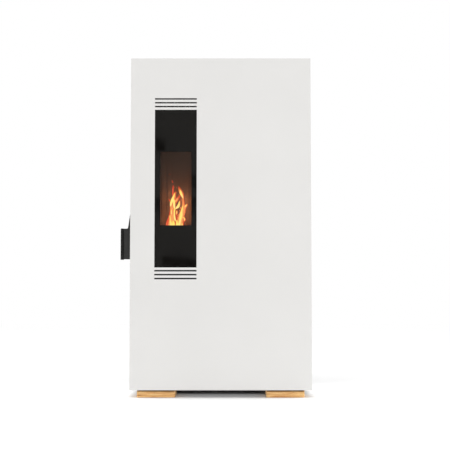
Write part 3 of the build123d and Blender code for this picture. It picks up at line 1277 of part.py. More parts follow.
def display_window():
    half = DISPLAY_WIDTH / 2
    deep = DISPLAY_DEPTH / 2
    x = display_x()
    return block(x - half, x + half, PANEL_Y - deep, PANEL_Y + deep, TOP + PANEL_FLOOR, TOP + PANEL_THICK)


def button(x):
    top = TOP + PANEL_THICK + BUTTON_PROUD
    cap = bar_z(BUTTON_DIAMETER / 2, x, PANEL_Y, top - BUTTON_HEIGHT, top)
    return fillet(cap.faces().sort_by(Axis.Z)[-1].edges(), BUTTON_EDGE_ROUND)


# ---------------------------------------------------------------- electrics
def control_box():
    """Plastic case of the control board, on the right side panel."""
    x1 = RIGHT - SHEET
    x0 = x1 - BOX_WIDTH
    box = block(x0, x1, BOX_FRONT, BOX_FRONT + BOX_DEPTH, BOX_BOTTOM, BOX_BOTTOM + BOX_HEIGHT)
    box = fillet(box.edges().filter_by(Axis.X), BOX_ROUND)
    y0 = BOX_FRONT + BOX_SLOT_INSET
    for index in range(BOX_SLOTS):
        z = BOX_BOTTOM + BOX_SLOT_START + index * BOX_SLOT_PITCH
        box -= block(
            x0 - 1, x0 + BOX_SLOT_WIDTH, y0, y0 + BOX_SLOT_LENGTH, z, z + BOX_SLOT_WIDTH,
        )
    return box


def mains_inlet():
    """Inlet for a mains plug with the switch's frame above, through the rear panel."""
    half_x = INLET_SOCKET_WIDTH / 2 - TOUCH
    half_z = INLET_SOCKET_HEIGHT / 2 - TOUCH
    body = block(
        INLET_X - half_x, INLET_X + half_x, REAR - INLET_SOCKET_DEPTH, REAR,
        INLET_Z - half_z, INLET_Z + half_z,
    )
    frame = block(
        INLET_X - half_x - INLET_RIM, INLET_X + half_x + INLET_RIM, REAR, REAR + INLET_RIM_THICK,
        INLET_Z - half_z - INLET_RIM, INLET_Z + half_z + INLET_RIM,
    )
    body = body + fillet(frame.edges().filter_by(Axis.Y), INLET_RIM_THICK)
    socket_z = INLET_Z - SOCKET_BELOW_MIDDLE
    floor = REAR - INLET_CAVITY_DEPTH
    for (half_x, half_z), z in ((INLET_CAVITY_HALF, socket_z), (ROCKER_WELL_HALF, rocker_z())):
        body -= block(INLET_X - half_x, INLET_X + half_x, floor, REAR + CUT, z - half_z, z + half_z)
    for shift in (-INLET_BLADE_PITCH, 0, INLET_BLADE_PITCH):
        x = INLET_X + shift
        body = body + block(x - 1, x + 1, floor, REAR - 2, socket_z - 2, socket_z + 2)
    half = ROCKER_PIN_HALF + TOUCH
    return body - bar_x(ROCKER_PIN_RADIUS + FIT, INLET_X - half, INLET_X + half, REAR - 3, rocker_z())


def rocker_z():
    return INLET_Z + ROCKER_ABOVE_MIDDLE


def power_switch():
    """Rocker, tilted to its off side, on a pin across its frame."""
    body = block(-ROCKER_LENGTH / 2, ROCKER_LENGTH / 2, -6, 4.5, -6.5, 6.5)
    body -= bar_x(ROCKER_HOLLOW_RADIUS, -ROCKER_LENGTH, ROCKER_LENGTH, ROCKER_HOLLOW_RADIUS + 3.9, 0)
    rocker = body + bar_x(ROCKER_PIN_RADIUS, -ROCKER_PIN_HALF, ROCKER_PIN_HALF, 0, 0)
    return Pos(INLET_X, REAR - 3, rocker_z()) * Rot(ROCKER_TILT, 0, 0) * rocker


# ---------------------------------------------------------------- door
def front_panel():
    """Folded steel panel: flat front, edges turned back, window and slots cut through."""
    panel = block(LEFT, RIGHT, 0, DOOR_DEPTH, BOTTOM, TOP)
    panel = fillet(panel.faces().sort_by(Axis.Y)[0].edges(), DOOR_CORNER)
    panel -= block(
        LEFT + SHEET, RIGHT - SHEET, SHEET, DOOR_DEPTH + 1, BOTTOM + SHEET, TOP - SHEET,
    )
    half = WINDOW_WIDTH / 2
    panel -= block(WINDOW_X - half, WINDOW_X + half, -1, SHEET + 1, WINDOW_SILL, WINDOW_TOP)
    for z in slot_heights():
        panel -= block(
            WINDOW_X - half, WINDOW_X + half, -1, SHEET + 1, z - SLOT_HEIGHT / 2, z + SLOT_HEIGHT / 2,
        )
    panel -= block(
        LEFT - 1, LEFT + SHEET + 1, SHEET + 0.5, DOOR_DEPTH + 1, HANDLE_BOTTOM - 4, HANDLE_TAPER_TOP + 4,
    )
    for z in hinge_arm_heights():
        low = z - HINGE_SWEEP_GAP
        high = z + HINGE_ARM_THICK + HINGE_SWEEP_GAP
        panel -= block(RIGHT - SHEET - 1, RIGHT + 1, SHEET + 0.5, DOOR_DEPTH + 1, low, high)
    return panel


def window_ring(y0, y1, lap, inset_x, inset_z):
    """A flat ring behind the window's edge."""
    half_x = WINDOW_WIDTH / 2
    half_z = WINDOW_HEIGHT / 2
    ring = block(
        WINDOW_X - half_x - lap, WINDOW_X + half_x + lap, y0, y1,
        WINDOW_Z - half_z - lap, WINDOW_Z + half_z + lap,
    )
    return ring - block(
        WINDOW_X - half_x + inset_x, WINDOW_X + half_x - inset_x, y0 - 1, y1 + 1,
        WINDOW_Z - half_z + inset_z, WINDOW_Z + half_z - inset_z,
    )


def glass_gasket():
    return window_ring(SHEET, GLASS_Y, GLASS_LAP, 0, 0)


def door_glass():
    half_x = WINDOW_WIDTH / 2 + GLASS_LAP
    half_z = WINDOW_HEIGHT / 2 + GLASS_LAP
    return block(
        WINDOW_X - half_x, WINDOW_X + half_x, GLASS_Y, GLASS_BACK, WINDOW_Z - half_z, WINDOW_Z + half_z,
    )


def frame_half_width():
    return DOOR_FRAME_WIDTH / 2


def frame_half_height():
    return WINDOW_HEIGHT / 2 + GLASS_LAP + 1


def rope_path(y):
    bar = DOOR_FRAME_BAR
    plane = Plane(origin=(WINDOW_X, y, WINDOW_Z), x_dir=(1, 0, 0), z_dir=(0, -1, 0))
    width = 2 * frame_half_width() - bar
    height = 2 * frame_half_height() - bar
    return plane * RectangleRounded(width, height, ROPE_CORNER).wire()


def rope_y():
    return SEAL_Y - TOUCH - ROPE_DIAMETER / 2


def rope_ring(radius):
    """A round rope laid in a rounded rectangle."""
    path = rope_path(rope_y())
    section = Plane(origin=path @ 0, z_dir=path % 0) * Circle(radius)
    return sweep(section, path=path)


def door_frame():
    """Steel frame that clamps the glass and carries the rope seal in its groove."""
    half_x = frame_half_width()
    half_z = frame_half_height()
    bar = DOOR_FRAME_BAR
    frame = block(
        WINDOW_X - half_x, WINDOW_X + half_x, GLASS_BACK, DOOR_DEPTH,
        WINDOW_Z - half_z, WINDOW_Z + half_z,
    )
    frame = fillet(frame.edges().filter_by(Axis.Y), 6)
    frame -= block(
        WINDOW_X - half_x + bar, WINDOW_X + half_x - bar, GLASS_BACK - 1, DOOR_DEPTH + 1,
        WINDOW_Z - half_z + bar, WINDOW_Z + half_z - bar,
    )
    groove_floor = rope_y() - ROPE_DIAMETER / 2
    groove = RectangleRounded(
        2 * half_x - bar + ROPE_DIAMETER + 1, 2 * half_z - bar + ROPE_DIAMETER + 1, ROPE_CORNER + 5,
    ) - RectangleRounded(
        2 * half_x - bar - ROPE_DIAMETER - 1, 2 * half_z - bar - ROPE_DIAMETER - 1, ROPE_CORNER - 6,
    )
    plane = Plane(origin=(WINDOW_X, DOOR_DEPTH + 1, WINDOW_Z), x_dir=(1, 0, 0), z_dir=(0, -1, 0))
    frame -= plane * extrude(groove, amount=DOOR_DEPTH + 1 - groove_floor)
    for x, z in stud_places():
        frame -= bar_y(STUD_DIAMETER / 2 + TOUCH, x, GLASS_BACK - 1, DOOR_DEPTH + 1, z)
    return frame


def stud_places():
    """Studs along the upright bars, outside the rope."""
    half_x = frame_half_width() - 6
    heights = [WINDOW_Z + frame_half_height() * share for share in (-0.8, -0.27, 0.27, 0.8)]
    return [(WINDOW_X + side * half_x, z) for side in (-1, 1) for z in heights]


def door_nuts():
    """Weld studs on the panel's back with nuts on the frame."""
    nuts = []
    for x, z in stud_places():
        stud = bar_y(STUD_DIAMETER / 2, x, SHEET, DOOR_DEPTH + 4, z)
        plane = Plane(origin=(x, DOOR_DEPTH, z), z_dir=(0, 1, 0))
        nut = plane * extrude(RegularPolygon(5.5, 6), amount=3)
        nuts.append(stud + nut)
    return Compound(nuts)


def door_stiffeners():
    """Hat channels behind the panel's plain right side."""
    channels = []
    left_end = WINDOW_X + frame_half_width()
    space = (RIGHT - left_end) / (STIFFENER_COUNT + 1)
    for index in range(STIFFENER_COUNT):
        x = left_end + space * (index + 1)
        half = STIFFENER_WIDTH / 2
        z0 = BOTTOM + 30
        z1 = TOP - 30
        y1 = SHEET + STIFFENER_DEPTH
        hat = block(x - half, x + half, SHEET, y1, z0, z1)
        hat -= block(x - half + 1.5, x + half - 1.5, SHEET - 1, y1 - 1.5, z0 - 1, z1 + 1)
        for side in (-1, 1):
            a, b = sorted((x + side * (half - 1), x + side * (half + 12)))
            hat = hat + block(a, b, SHEET, SHEET + 1.5, z0, z1)
        channels.append(hat)
    return Compound(channels)


def hinge_arm_heights():
    """Undersides of the lower and the upper hinge arm."""
    return (BOTTOM + HINGE_FROM_END, TOP - HINGE_FROM_END - HINGE_ARM_THICK)


def hinge_arms():
    """Arms on the inner front plate, each with an upright pin for the door."""
    arms = []
    for z in hinge_arm_heights():
        half = HINGE_ARM_WIDTH / 2
        top = z + HINGE_ARM_THICK
        arm = block(HINGE_X - half, HINGE_X + half, HINGE_Y, PLATE_Y, z, top)
        arm = arm + bar_z(half, HINGE_X, HINGE_Y, z, top)
        x1 = HINGE_X + half
        foot = block(x1 - 44, x1, PLATE_Y - 3, PLATE_Y, z - 12, top + 12)
        pin = bar_z(HINGE_PIN_DIAMETER / 2, HINGE_X, HINGE_Y, top - 1, top + 14)
        arms.append(arm + foot + pin)
    return Compound(arms)


def door_hinge_lugs():
    """Lugs welded inside the door, turning on the pins."""
    lugs = []
    for z in hinge_arm_heights():
        low = z + HINGE_ARM_THICK + TOUCH
        half = 7.0
        lug = block(HINGE_X - 40, HINGE_X, HINGE_Y - half, HINGE_Y + half, low, low + 10)
        lug = lug + bar_z(half, HINGE_X, HINGE_Y, low, low + 10)
        tail = block(HINGE_X - 60, HINGE_X - 39, SHEET, HINGE_Y + half, low, low + 10)
        lug = lug + tail
        lug -= bar_z(HINGE_PIN_DIAMETER / 2 + FIT, HINGE_X, HINGE_Y, low - 1, low + 11)
        lugs.append(lug)
    return Compound(lugs)


# ---------------------------------------------------------------- latch and handle
def bracket_heights():
    return (ROD_BOTTOM + BRACKET_FROM_END, ROD_BOTTOM + ROD_LENGTH - BRACKET_FROM_END)


def latch_brackets():
    """Two bearings for the latch rod, welded to the panel's back."""
    brackets = []
    for z in bracket_heights():
        half = BRACKET_THICK / 2
        radius = ROD_DIAMETER / 2
        ring = block(ROD_X - 8, ROD_X + 16, SHEET, ROD_Y + 8.5, z - half, z + half)
        ring -= bar_z(radius + FIT, ROD_X, ROD_Y, z - 9, z + 9)
        brackets.append(ring)
    return Compound(brackets)


def latch_rod():
    """Upright rod with a claw near each end; the claws reach behind the catch pins."""
    rod = bar_z(ROD_DIAMETER / 2, ROD_X, ROD_Y, ROD_BOTTOM, ROD_BOTTOM + ROD_LENGTH)
    for z in hook_heights():
        half = HOOK_THICK / 2
        back = ROD_Y + HOOK_REACH
        arm = block(ROD_X - 5, ROD_X + 5, ROD_Y, back, z - half, z + half)
        finger = block(ROD_X, ROD_X + CATCH_PIN_ACROSS + 2, back - 5, back, z - half, z + half)
        rod = rod + arm + finger
    return rod


def catch_pins():
    """Pins behind the inner front plate that the claws hold on to."""
    y = ROD_Y + HOOK_REACH - 5 - TOUCH - CATCH_PIN_DIAMETER / 2
    x = ROD_X + CATCH_PIN_ACROSS
    catches = []
    for z in hook_heights():
        pin = bar_z(CATCH_PIN_DIAMETER / 2, x, y, z - 14, z + 14)
        for side in (-1, 1):
            a, b = sorted((z + side * 9, z + side * 12))
            tab = block(x - 6, x + 9, PLATE_BACK, y + 6, a, b)
            pin = pin + tab
        catches.append(pin)
    return Compound(catches)


def handle_web():
    """The flat part of the handle: it holds the rod, and tapers off above the grip."""
    bend_x = LEFT - (HANDLE_REACH - HANDLE_LIP)
    grip_top = HANDLE_BOTTOM + HANDLE_GRIP
    taper_x = LEFT - HANDLE_TAPER_FOOT
    outline = Polyline(
        (bend_x, HANDLE_BOTTOM), (ROD_X, HANDLE_BOTTOM), (ROD_X, HANDLE_TAPER_TOP),
        (LEFT - HANDLE_TAPER_TIP, HANDLE_TAPER_TOP), (taper_x, grip_top), (bend_x, grip_top), close=True,
    )
    y1 = ROD_Y + HANDLE_SHEET / 2
    plane = Plane(origin=(0, y1, 0), x_dir=(1, 0, 0), z_dir=(0, -1, 0))
    web = plane * extrude(make_face(outline), amount=HANDLE_SHEET)
    inner_corner = web.edges().filter_by(Axis.Y).sort_by_distance((taper_x, y1, grip_top))[0]
    return fillet(inner_corner, HANDLE_CORNER)


def handle_lip():
    """The strip at the handle's outer edge, folded forward for the fingers."""
    bend_x = LEFT - (HANDLE_REACH - HANDLE_LIP)
    end_x = LEFT - HANDLE_REACH
    length = math.hypot(HANDLE_LIP, HANDLE_LIP_LEAN)
    across = (HANDLE_LIP_LEAN / length * HANDLE_SHEET, -HANDLE_LIP / length * HANDLE_SHEET)
    front = ROD_Y - HANDLE_SHEET / 2
    back = ROD_Y + HANDLE_SHEET / 2
    tip_y = front - HANDLE_LIP_LEAN
    section = Polyline(
        (bend_x + HANDLE_SHEET, front), (end_x + across[0], tip_y), (end_x, tip_y - across[1]),
        (bend_x, back), (bend_x + HANDLE_SHEET, back), close=True,
    )
    low = HANDLE_BOTTOM - HANDLE_LIP_DROP
    plane = Plane(origin=(0, 0, low), x_dir=(1, 0, 0), z_dir=(0, 0, 1))
    lip = plane * extrude(make_face(section), amount=HANDLE_GRIP + HANDLE_LIP_DROP)
    top_corner = lip.edges().sort_by_distance((end_x, tip_y, HANDLE_BOTTOM + HANDLE_GRIP))[0]
    return fillet(top_corner, HANDLE_CORNER)


def door_handle():
    """Sheet-steel handle, welded to a sleeve on the latch rod."""
    low = HANDLE_BOTTOM + HANDLE_SLEEVE_INSET
    high = HANDLE_TAPER_TOP - HANDLE_SLEEVE_INSET
    sleeve = bar_z(ROD_DIAMETER / 2 + HANDLE_SLEEVE_WALL, ROD_X, ROD_Y, low, high)
    sleeve -= bar_z(ROD_DIAMETER / 2, ROD_X, ROD_Y, low - 1, high + 1)
    web = handle_web()
    web -= bar_z(ROD_DIAMETER / 2 + 1, ROD_X, ROD_Y, HANDLE_BOTTOM - 1, HANDLE_TAPER_TOP + 1)
    return web + handle_lip() + sleeve


# ---------------------------------------------------------------- write every node
def build():
    os.makedirs("parts", exist_ok=True)
    nodes = {
        "front_feet": Compound([foot(True, True), foot(False, True)]),
        "rear_feet": Compound([foot(True, False), foot(False, False)]),
        "base_plate": base_plate(),
        "foot_screws": foot_screws(),
        "left_side_panel": side_panel(True),
        "right_side_panel": side_panel(False),
        "top_panel": top_panel(),
        "rear_panel": rear_panel(),
        "inner_front_plate": inner_front_plate(),
        "partition_plate": partition_plate(),
        "casing_screws": casing_screws(),
        "firebox": firebox(),
        "back_liner": back_liner(),
        "side_liners": side_liners(),
        "baffle_plate": baffle_plate(),
        "burn_pot_holder": burn_pot_holder(),
        "burn_pot": burn_pot(),
        "igniter": igniter(),
        "intake_pipe": intake_pipe(),
        "heat_exchanger_tubes": heat_exchanger_tubes(),
        "ash_drawer": ash_drawer(),
        "pellet_chute": pellet_chute(),
        "auger_tube": auger_tube(),
        "auger_screw": auger_screw(),
        "auger_gearmotor": auger_gearmotor(),
        "hopper": hopper(),
        "hopper_grille": hopper_grille(),
        "air_duct": air_duct(),
        "convection_fan_housing": convection_fan_housing(),
        "convection_fan_impeller": convection_fan_impeller(),
        "convection_fan_motor": convection_fan_motor(),
        "smoke_collector": smoke_collector(),
        "smoke_fan_housing": smoke_fan_housing(),
        "smoke_fan_impeller": smoke_fan_impeller(),
        "smoke_fan_motor": smoke_fan_motor(),
        "flue_spigot": flue_spigot(),
        "hopper_lid": hopper_lid(),
        "lid_hinges": lid_hinges(),
        "lid_seal": lid_seal(),
        "control_panel": control_panel(),
        "display_window": display_window(),
        "control_box": control_box(),
        "mains_inlet": mains_inlet(),
        "power_switch": power_switch(),
        "front_panel": front_panel(),
        "glass_gasket": glass_gasket(),
        "door_glass": door_glass(),
        "door_frame": door_frame(),
        "door_rope_seal": rope_ring(ROPE_DIAMETER / 2),
        "door_nuts": door_nuts(),
        "door_stiffeners": door_stiffeners(),
        "hinge_arms": hinge_arms(),
        "door_hinge_lugs": door_hinge_lugs(),
        "latch_brackets": latch_brackets(),
        "latch_rod": latch_rod(),
        "catch_pins": catch_pins(),
        "door_handle": door_handle(),
    }
    for name, x in zip(("power_button", "down_button", "up_button"), button_places()):
        nodes[name] = button(x)
    for name, shape in nodes.items():
        save(name, shape)
    print(len(nodes), "nodes written")


build()
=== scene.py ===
# %% [markdown]
# # A slim pellet stove
#
# The stove is a white sheet-steel cabinet on oak blocks.  Its whole front is one door with a tall,
# narrow black glass, behind which a small pellet fire burns.  The engineering model already holds
# every sheet, shaft and hinge at its real size.  This notebook gives those parts their finishes and
# adds what an engineering model has no use for: the fire, the pellets, the woven rope seal, the ash.
#
# We start by loading the fixed frame and printing its outer box; the box of everything that is shown
# is printed at the end.

# %% Load the frame
import math
import random

import bmesh
import bpy
from mathutils import Matrix, Vector


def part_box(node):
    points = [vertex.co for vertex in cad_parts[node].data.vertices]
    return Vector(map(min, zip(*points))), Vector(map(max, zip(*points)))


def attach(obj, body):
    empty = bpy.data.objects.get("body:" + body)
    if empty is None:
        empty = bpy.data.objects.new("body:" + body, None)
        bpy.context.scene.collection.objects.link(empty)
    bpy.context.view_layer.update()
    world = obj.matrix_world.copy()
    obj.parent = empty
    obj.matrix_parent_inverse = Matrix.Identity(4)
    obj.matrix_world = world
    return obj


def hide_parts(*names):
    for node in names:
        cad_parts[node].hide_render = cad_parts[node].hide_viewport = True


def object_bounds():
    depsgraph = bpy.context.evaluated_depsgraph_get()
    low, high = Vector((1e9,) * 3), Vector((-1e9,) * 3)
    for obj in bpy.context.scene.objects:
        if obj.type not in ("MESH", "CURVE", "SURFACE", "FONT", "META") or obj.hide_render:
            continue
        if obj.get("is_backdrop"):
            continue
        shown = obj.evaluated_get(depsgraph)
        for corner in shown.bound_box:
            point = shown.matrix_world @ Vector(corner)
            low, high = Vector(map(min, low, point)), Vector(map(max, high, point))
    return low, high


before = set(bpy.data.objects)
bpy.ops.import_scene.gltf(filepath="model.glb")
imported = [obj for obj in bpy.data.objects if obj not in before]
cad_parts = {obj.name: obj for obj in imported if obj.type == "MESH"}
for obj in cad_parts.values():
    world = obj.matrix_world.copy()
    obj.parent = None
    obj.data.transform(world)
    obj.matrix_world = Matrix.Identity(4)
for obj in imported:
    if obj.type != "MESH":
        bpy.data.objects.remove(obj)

cad_low, cad_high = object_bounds()
MM = 0.001
print("The CAD box is", [round((b - a) / MM) for a, b in zip(cad_low, cad_high)], "mm")

# %% [markdown]
# ## The view
#
# The photograph was taken from low down, nearly straight in front of the stove.  An 80 mm lens on a
# 36 mm wide sensor, 3.3 metres away and tilted up by a few degrees, gives its lines.
# Nothing else about the camera matters here, so depth of field stays off.

# %% Camera
PANEL_FRONT = cad_low[1]
CAMERA_SIDE = 29.7 * MM
CAMERA_DISTANCE = 3303 * MM
CAMERA_HEIGHT = 350 * MM
CAMERA_TILT = 3.77

camera_data = bpy.data.cameras.new("camera")
camera_data.lens = 80
camera_data.sensor_width = 36
camera = bpy.data.objects.new("camera", camera_data)
bpy.context.scene.collection.objects.link(camera)
camera.location = (CAMERA_SIDE, PANEL_FRONT - CAMERA_DISTANCE, CAMERA_HEIGHT)
camera.rotation_euler = (math.radians(90 + CAMERA_TILT), 0, 0)
bpy.context.scene.camera = camera
bpy.context.scene.view_settings.view_transform = "Standard"
print("Camera placed", round(CAMERA_DISTANCE, 2), "m in front of the door")

# %% [markdown]
# ## Colours and nodes
#
# Two small helpers serve every finish and lamp below.  Blender's shaders want linear colours, while a
# colour is easier to read as an sRGB hex value, so one function turns the one into the other.  The
# other adds a node, sets it and links it, and hands back the output that the next node needs.

# %% Colour and node helpers
def linear(hex_colour):
    """Turn an sRGB hex value such as 'd8b48c' into linear red, green, blue and alpha."""
    channels = [int(hex_colour[i:i + 2], 16) / 255 for i in (0, 2, 4)]
    return tuple(c / 12.92 if c <= 0.04045 else ((c + 0.055) / 1.055) ** 2.4 for c in channels) + (1.0,)


def add(tree, kind, inputs=None, out=0, stops=(), **settings):
    """Add one node and return one of its outputs.

    Inputs are links, hex colours or plain values for its sockets, settings are its properties, and
    stops are the (position, hex colour) pairs of a colour ramp.
    """
    made = tree.nodes.new("ShaderNode" + kind)
    for name, value in settings.items():
        setattr(made, name, value)
    for socket, value in (inputs or {}).items():
        if isinstance(value, bpy.types.NodeSocket):
            tree.links.new(value, made.inputs[socket])
        else:
            made.inputs[socket].default_value = linear(value) if isinstance(value, str) else value
    for n, (position, colour) in enumerate(stops):
        elements = made.color_ramp.elements
        element = elements[n] if n < len(elements) else elements.new(position)
        element.position, element.color = position, linear(colour)
    return made.outputs[out]


print("Helpers ready; oak, for one, is", [round(c, 2) for c in linear("dfa262")[:3]], "in linear light")

# %% [markdown]
# ## World and floor
#
# A studio cut-out like this one has no visible room: the floor and the background are both blown out
# to white.  A white world does that for the background.  The floor is a pale matt sheet that is lit
# from above by a large soft lamp, so it also comes out white, and the only shadow that is left is the
# soft one close under the stove.

# %% World and floor
world = bpy.data.worlds.new("studio")
world.use_nodes = True
world.node_tree.nodes["Background"].inputs["Color"].default_value = (1, 1, 1, 1)
world.node_tree.nodes["Background"].inputs["Strength"].default_value = 1.0
bpy.context.scene.world = world


def matt_sheet(name, colour):
    """A selected plain sheet gets a matt finish of one colour: it is studio kit, not the stove."""
    sheet = bpy.context.object
    sheet.name = name
    cloth = bpy.data.materials.new(name + " cloth")
    cloth.use_nodes = True
    shader = cloth.node_tree.nodes["Principled BSDF"]
    shader.inputs["Base Color"].default_value = linear(colour)
    shader.inputs["Roughness"].default_value = 1.0
    sheet.data.materials.append(cloth)
    sheet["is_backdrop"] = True
    return sheet, shader


bpy.ops.object.select_all(action="DESELECT")
bpy.ops.mesh.primitive_plane_add(size=14, location=(0, 0, 0))
floor, floor_shader = matt_sheet("floor", "fefefe")
floor_shader.inputs["Specular IOR Level"].default_value = 0.0
print("White world over a white floor,", round(floor.dimensions.x), "m wide")

# %% [markdown]
# ## Lamps
#
# One large lamp from above and one low in front give the door its even tone.  Two narrow ones at the
# sides graze the floor and lift it to white beside the feet, with the cabinet's sides left alone.  A
# strip under the base plate stands for the light that gets in between the feet.  Two small warm lamps
# among the flames stand for what the fire throws on the stone round it.

# %% Lamps
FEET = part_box("front_feet")
FEET_MIDDLE = (FEET[0][0] + FEET[1][0]) / 2
UNDER_BASE = FEET[1][2] - 1 * MM
STRIP_Y = -142 * MM
SIDE_SPREAD = 30         # degrees
FIRE_LIGHT = "ffb488"


def soft_lamp(name, place, aim, size, watts):
    """A square area lamp that looks at a point."""
    data = bpy.data.lights.new(name, "AREA")
    data.size = size
    data.energy = watts
    lamp = bpy.data.objects.new(name, data)
    bpy.context.scene.collection.objects.link(lamp)
    lamp.location = place
    lamp.rotation_euler = (Vector(aim) - Vector(place)).to_track_quat("-Z", "Y").to_euler()
    return data


def fire_lamp(name, place, radius, watts):
    """A small round lamp of the flames' colour."""
    data = bpy.data.lights.new(name, "POINT")
    data.shadow_soft_size = radius
    data.energy = watts
    data.color = linear(FIRE_LIGHT)[:3]
    lamp = bpy.data.objects.new(name, data)
    lamp.location = place
    bpy.context.scene.collection.objects.link(lamp)


soft_lamp("overhead lamp", (-0.9, -0.4, 3.4), (0, -0.4, 0), 3.0, 22)
fire_lamp("fire lamp", (-0.13, -0.05, 0.665), 0.05, 1.1)
fire_lamp("fire lamp at the foot", (-0.134, -0.11, 0.62), 0.03, 0.7)
soft_lamp("low front lamp", (1.4, -3.0, 0.38), (0, -0.2, 0.02), 0.7, 6)
for side, name in ((-1, "left side lamp"), (1, "right side lamp")):
    grazing = soft_lamp(name, (side * 1.4, 0.12, 0.4), (side * 0.4, 0, 0), 0.4, 0.4)
    grazing.spread = math.radians(SIDE_SPREAD)
strip = soft_lamp("floor bounce", (FEET_MIDDLE, STRIP_Y, UNDER_BASE), (FEET_MIDDLE, STRIP_Y, 0), 0.5, 0.037)
strip.shape = "RECTANGLE"
strip.size_y = 0.11
print(len(bpy.data.lights), "lamps")

# %% [markdown]
# ## Cards and flags
#
# A card is a matt sheet on a stand, as in any studio.  The camera doesn't see it and it casts no shadow,
# so all it does is show up in the black glass.  A flag is a card that does cast a shadow.

# %% A card
def card(name, left, right, low, high, distance, colour, turn=0):
    """An upright card in front of the stove, seen only by what mirrors it."""
    bpy.ops.object.select_all(action="DESELECT")
    bpy.ops.mesh.primitive_plane_add(
        size=1, location=((left + right) / 2, -distance, (low + high) / 2),
        rotation=(math.radians(-90), math.radians(turn), 0),
    )
    bpy.context.object.scale = (right - left, high - low, 1)
    bpy.ops.object.transform_apply(location=False, rotation=True, scale=True)
    made, shader = matt_sheet(name, colour)
    made.visible_camera = False
    made.visible_shadow = False
    return made


print("A card is a selected plane, stood up and scaled to its edges")

# %% [markdown]
# The low lamp would light the top of the foot blocks, where the door's edge keeps it off in a real
# room.  Two small black flags just in front of the blocks, behind the door's lower edge, do that here.

# %% Flags at the feet
FOOT_WIDTH = 126 * MM
FLAG_CLEARANCE = 1.2 * MM
FLAG_BELOW, FLAG_ABOVE = 3.6 * MM, 1.5 * MM      # from the top of the feet
for name, left in (("left_foot_flag", FEET[0][0]), ("right_foot_flag", FEET[1][0] - FOOT_WIDTH)):
    flag = card(name, left, left + FOOT_WIDTH, FEET[1][2] - FLAG_BELOW, FEET[1][2] + FLAG_ABOVE,
                FLAG_CLEARANCE - FEET[0][1], "0a0a0a")
    flag.visible_shadow = True
print("Two flags,", round((FLAG_BELOW + FLAG_ABOVE) / MM, 1), "mm high")

# %% [markdown]
# Black glass shows what stands before it.  Here that is a grey card and, in front of it, a few darker
# ones.  Each is placed where the line of sight, thrown back by the pane, meets a plane three and a half
# metres in front of the stove.

# %% Cards for the glass
CARD_DISTANCE = 3.5
card("grey_card", -1.05, 0.35, -0.2, 2.2, 3.6, "8b8a86")
card("high_dark_card", -0.432, -0.370, 1.280, 1.363, CARD_DISTANCE, "17110c")
card("left_dark_card", -0.436, -0.401, 0.867, 0.967, CARD_DISTANCE, "0c0a08")
card("right_dark_card", -0.195, -0.160, 0.867, 0.967, CARD_DISTANCE, "0c0a08")
card("green_card", -0.195, -0.160, 1.033, 1.113, CARD_DISTANCE, "16240e")
card("low_dark_card", -0.383, -0.150, 0.505, 0.567, CARD_DISTANCE, "1a120c", 5)
print("Six cards stand", CARD_DISTANCE, "m in front of the stove")

# %% [markdown]
# ## A way to start a finish
#
# Every finish below is a node tree of its own.  They all begin alike: a new material whose shader has
# its plain numbers set on its own sockets, and Object coordinates, which are metres in the stove's
# frame, so that a pattern's scale can be worked out from a real size in millimetres.
#
# Real surfaces are never even.  Paint is mottled, metal is wiped and touched, plastic is grained.  So a
# few effects come back in nearly every finish: cloudy patches of a real size, two colours mottled
# through such patches, a roughness that varies with them, and a fine grain that bends the light.

# %% The start of a finish
def finish(name, **sockets):
    """A new material: its tree, its main shader with plain values set, and its coordinates."""
    material = bpy.data.materials.new(name)
    material.use_nodes = True
    tree = material.node_tree
    shader = tree.nodes["Principled BSDF"]
    for socket, value in sockets.items():
        shader.inputs[socket.replace("_", " ")].default_value = value
    return material, tree, shader, add(tree, "TexCoord", out="Object")


def per_size(millimetres):
    """The scale that makes one unit of a pattern this many millimetres long."""
    return 1000 / millimetres


def cloud(tree, place, millimetres, detail=2.0, pull=(1, 1, 1)):
    """Soft noise with features of this size; a pull below 1 draws them out along that axis."""
    pulled = add(tree, "Mapping", {"Vector": place, "Scale": pull})
    return add(tree, "TexNoise", {"Vector": pulled, "Scale": per_size(millimetres), "Detail": detail})


def mottled(tree, source, low, high, below, above, least=0.0, most=1.0):
    """The colour above laid over the colour below, where the source goes from low to high."""
    steps = {"Value": source, "From Min": low, "From Max": high, "To Min": least, "To Max": most}
    mask = add(tree, "MapRange", steps)
    # The Mix node's colour sockets can only be told apart by their number.
    return add(tree, "Mix", {0: mask, 6: below, 7: above}, out=2, data_type="RGBA")


def vary(tree, shader, socket, source, low, high, least, most):
    """Let one of the shader's values go from least to most as the source goes from low to high."""
    steps = {"Value": source, "From Min": low, "From Max": high, "To Min": least, "To Max": most}
    tree.links.new(add(tree, "MapRange", steps), shader.inputs[socket])


def grained(tree, shader, place, millimetres, detail, depth, strength):
    """A fine grain of this size and depth, both in millimetres, that bends the shader's normal."""
    height = cloud(tree, place, millimetres, detail)
    bump = add(tree, "Bump", {"Height": height, "Strength": strength, "Distance": depth * MM})
    tree.links.new(bump, shader.inputs["Normal"])


print("Helpers for finishes are ready")

# %% [markdown]
# ## White powder coat
#
# The door, the sides and the top are mild steel with a satin white polyester powder coat, sprayed and
# baked.  It gives the eye a slightly warm white, a soft broad highlight and, close up, the faint
# orange peel of powder that flowed as it melted.  The peel is about 1.5 mm across, drawn with a noise
# that only bends the surface by a few hundredths of a millimetre.

# %% White powder coat
PEEL_MM = 1.5
powder_coat, tree, shader, place = finish("white polyester powder coat", Roughness=0.42, IOR=1.5)
grained(tree, shader, place, PEEL_MM, 2.0, 0.2, 0.12)
drift = cloud(tree, place, 260, 3.0)
tree.links.new(mottled(tree, drift, 0.3, 0.7, "e0dfdd", "e3e2e0"), shader.inputs["Base Color"])
vary(tree, shader, "Roughness", drift, 0, 1, 0.38, 0.48)
print("Powder coat: orange peel", PEEL_MM, "mm across")

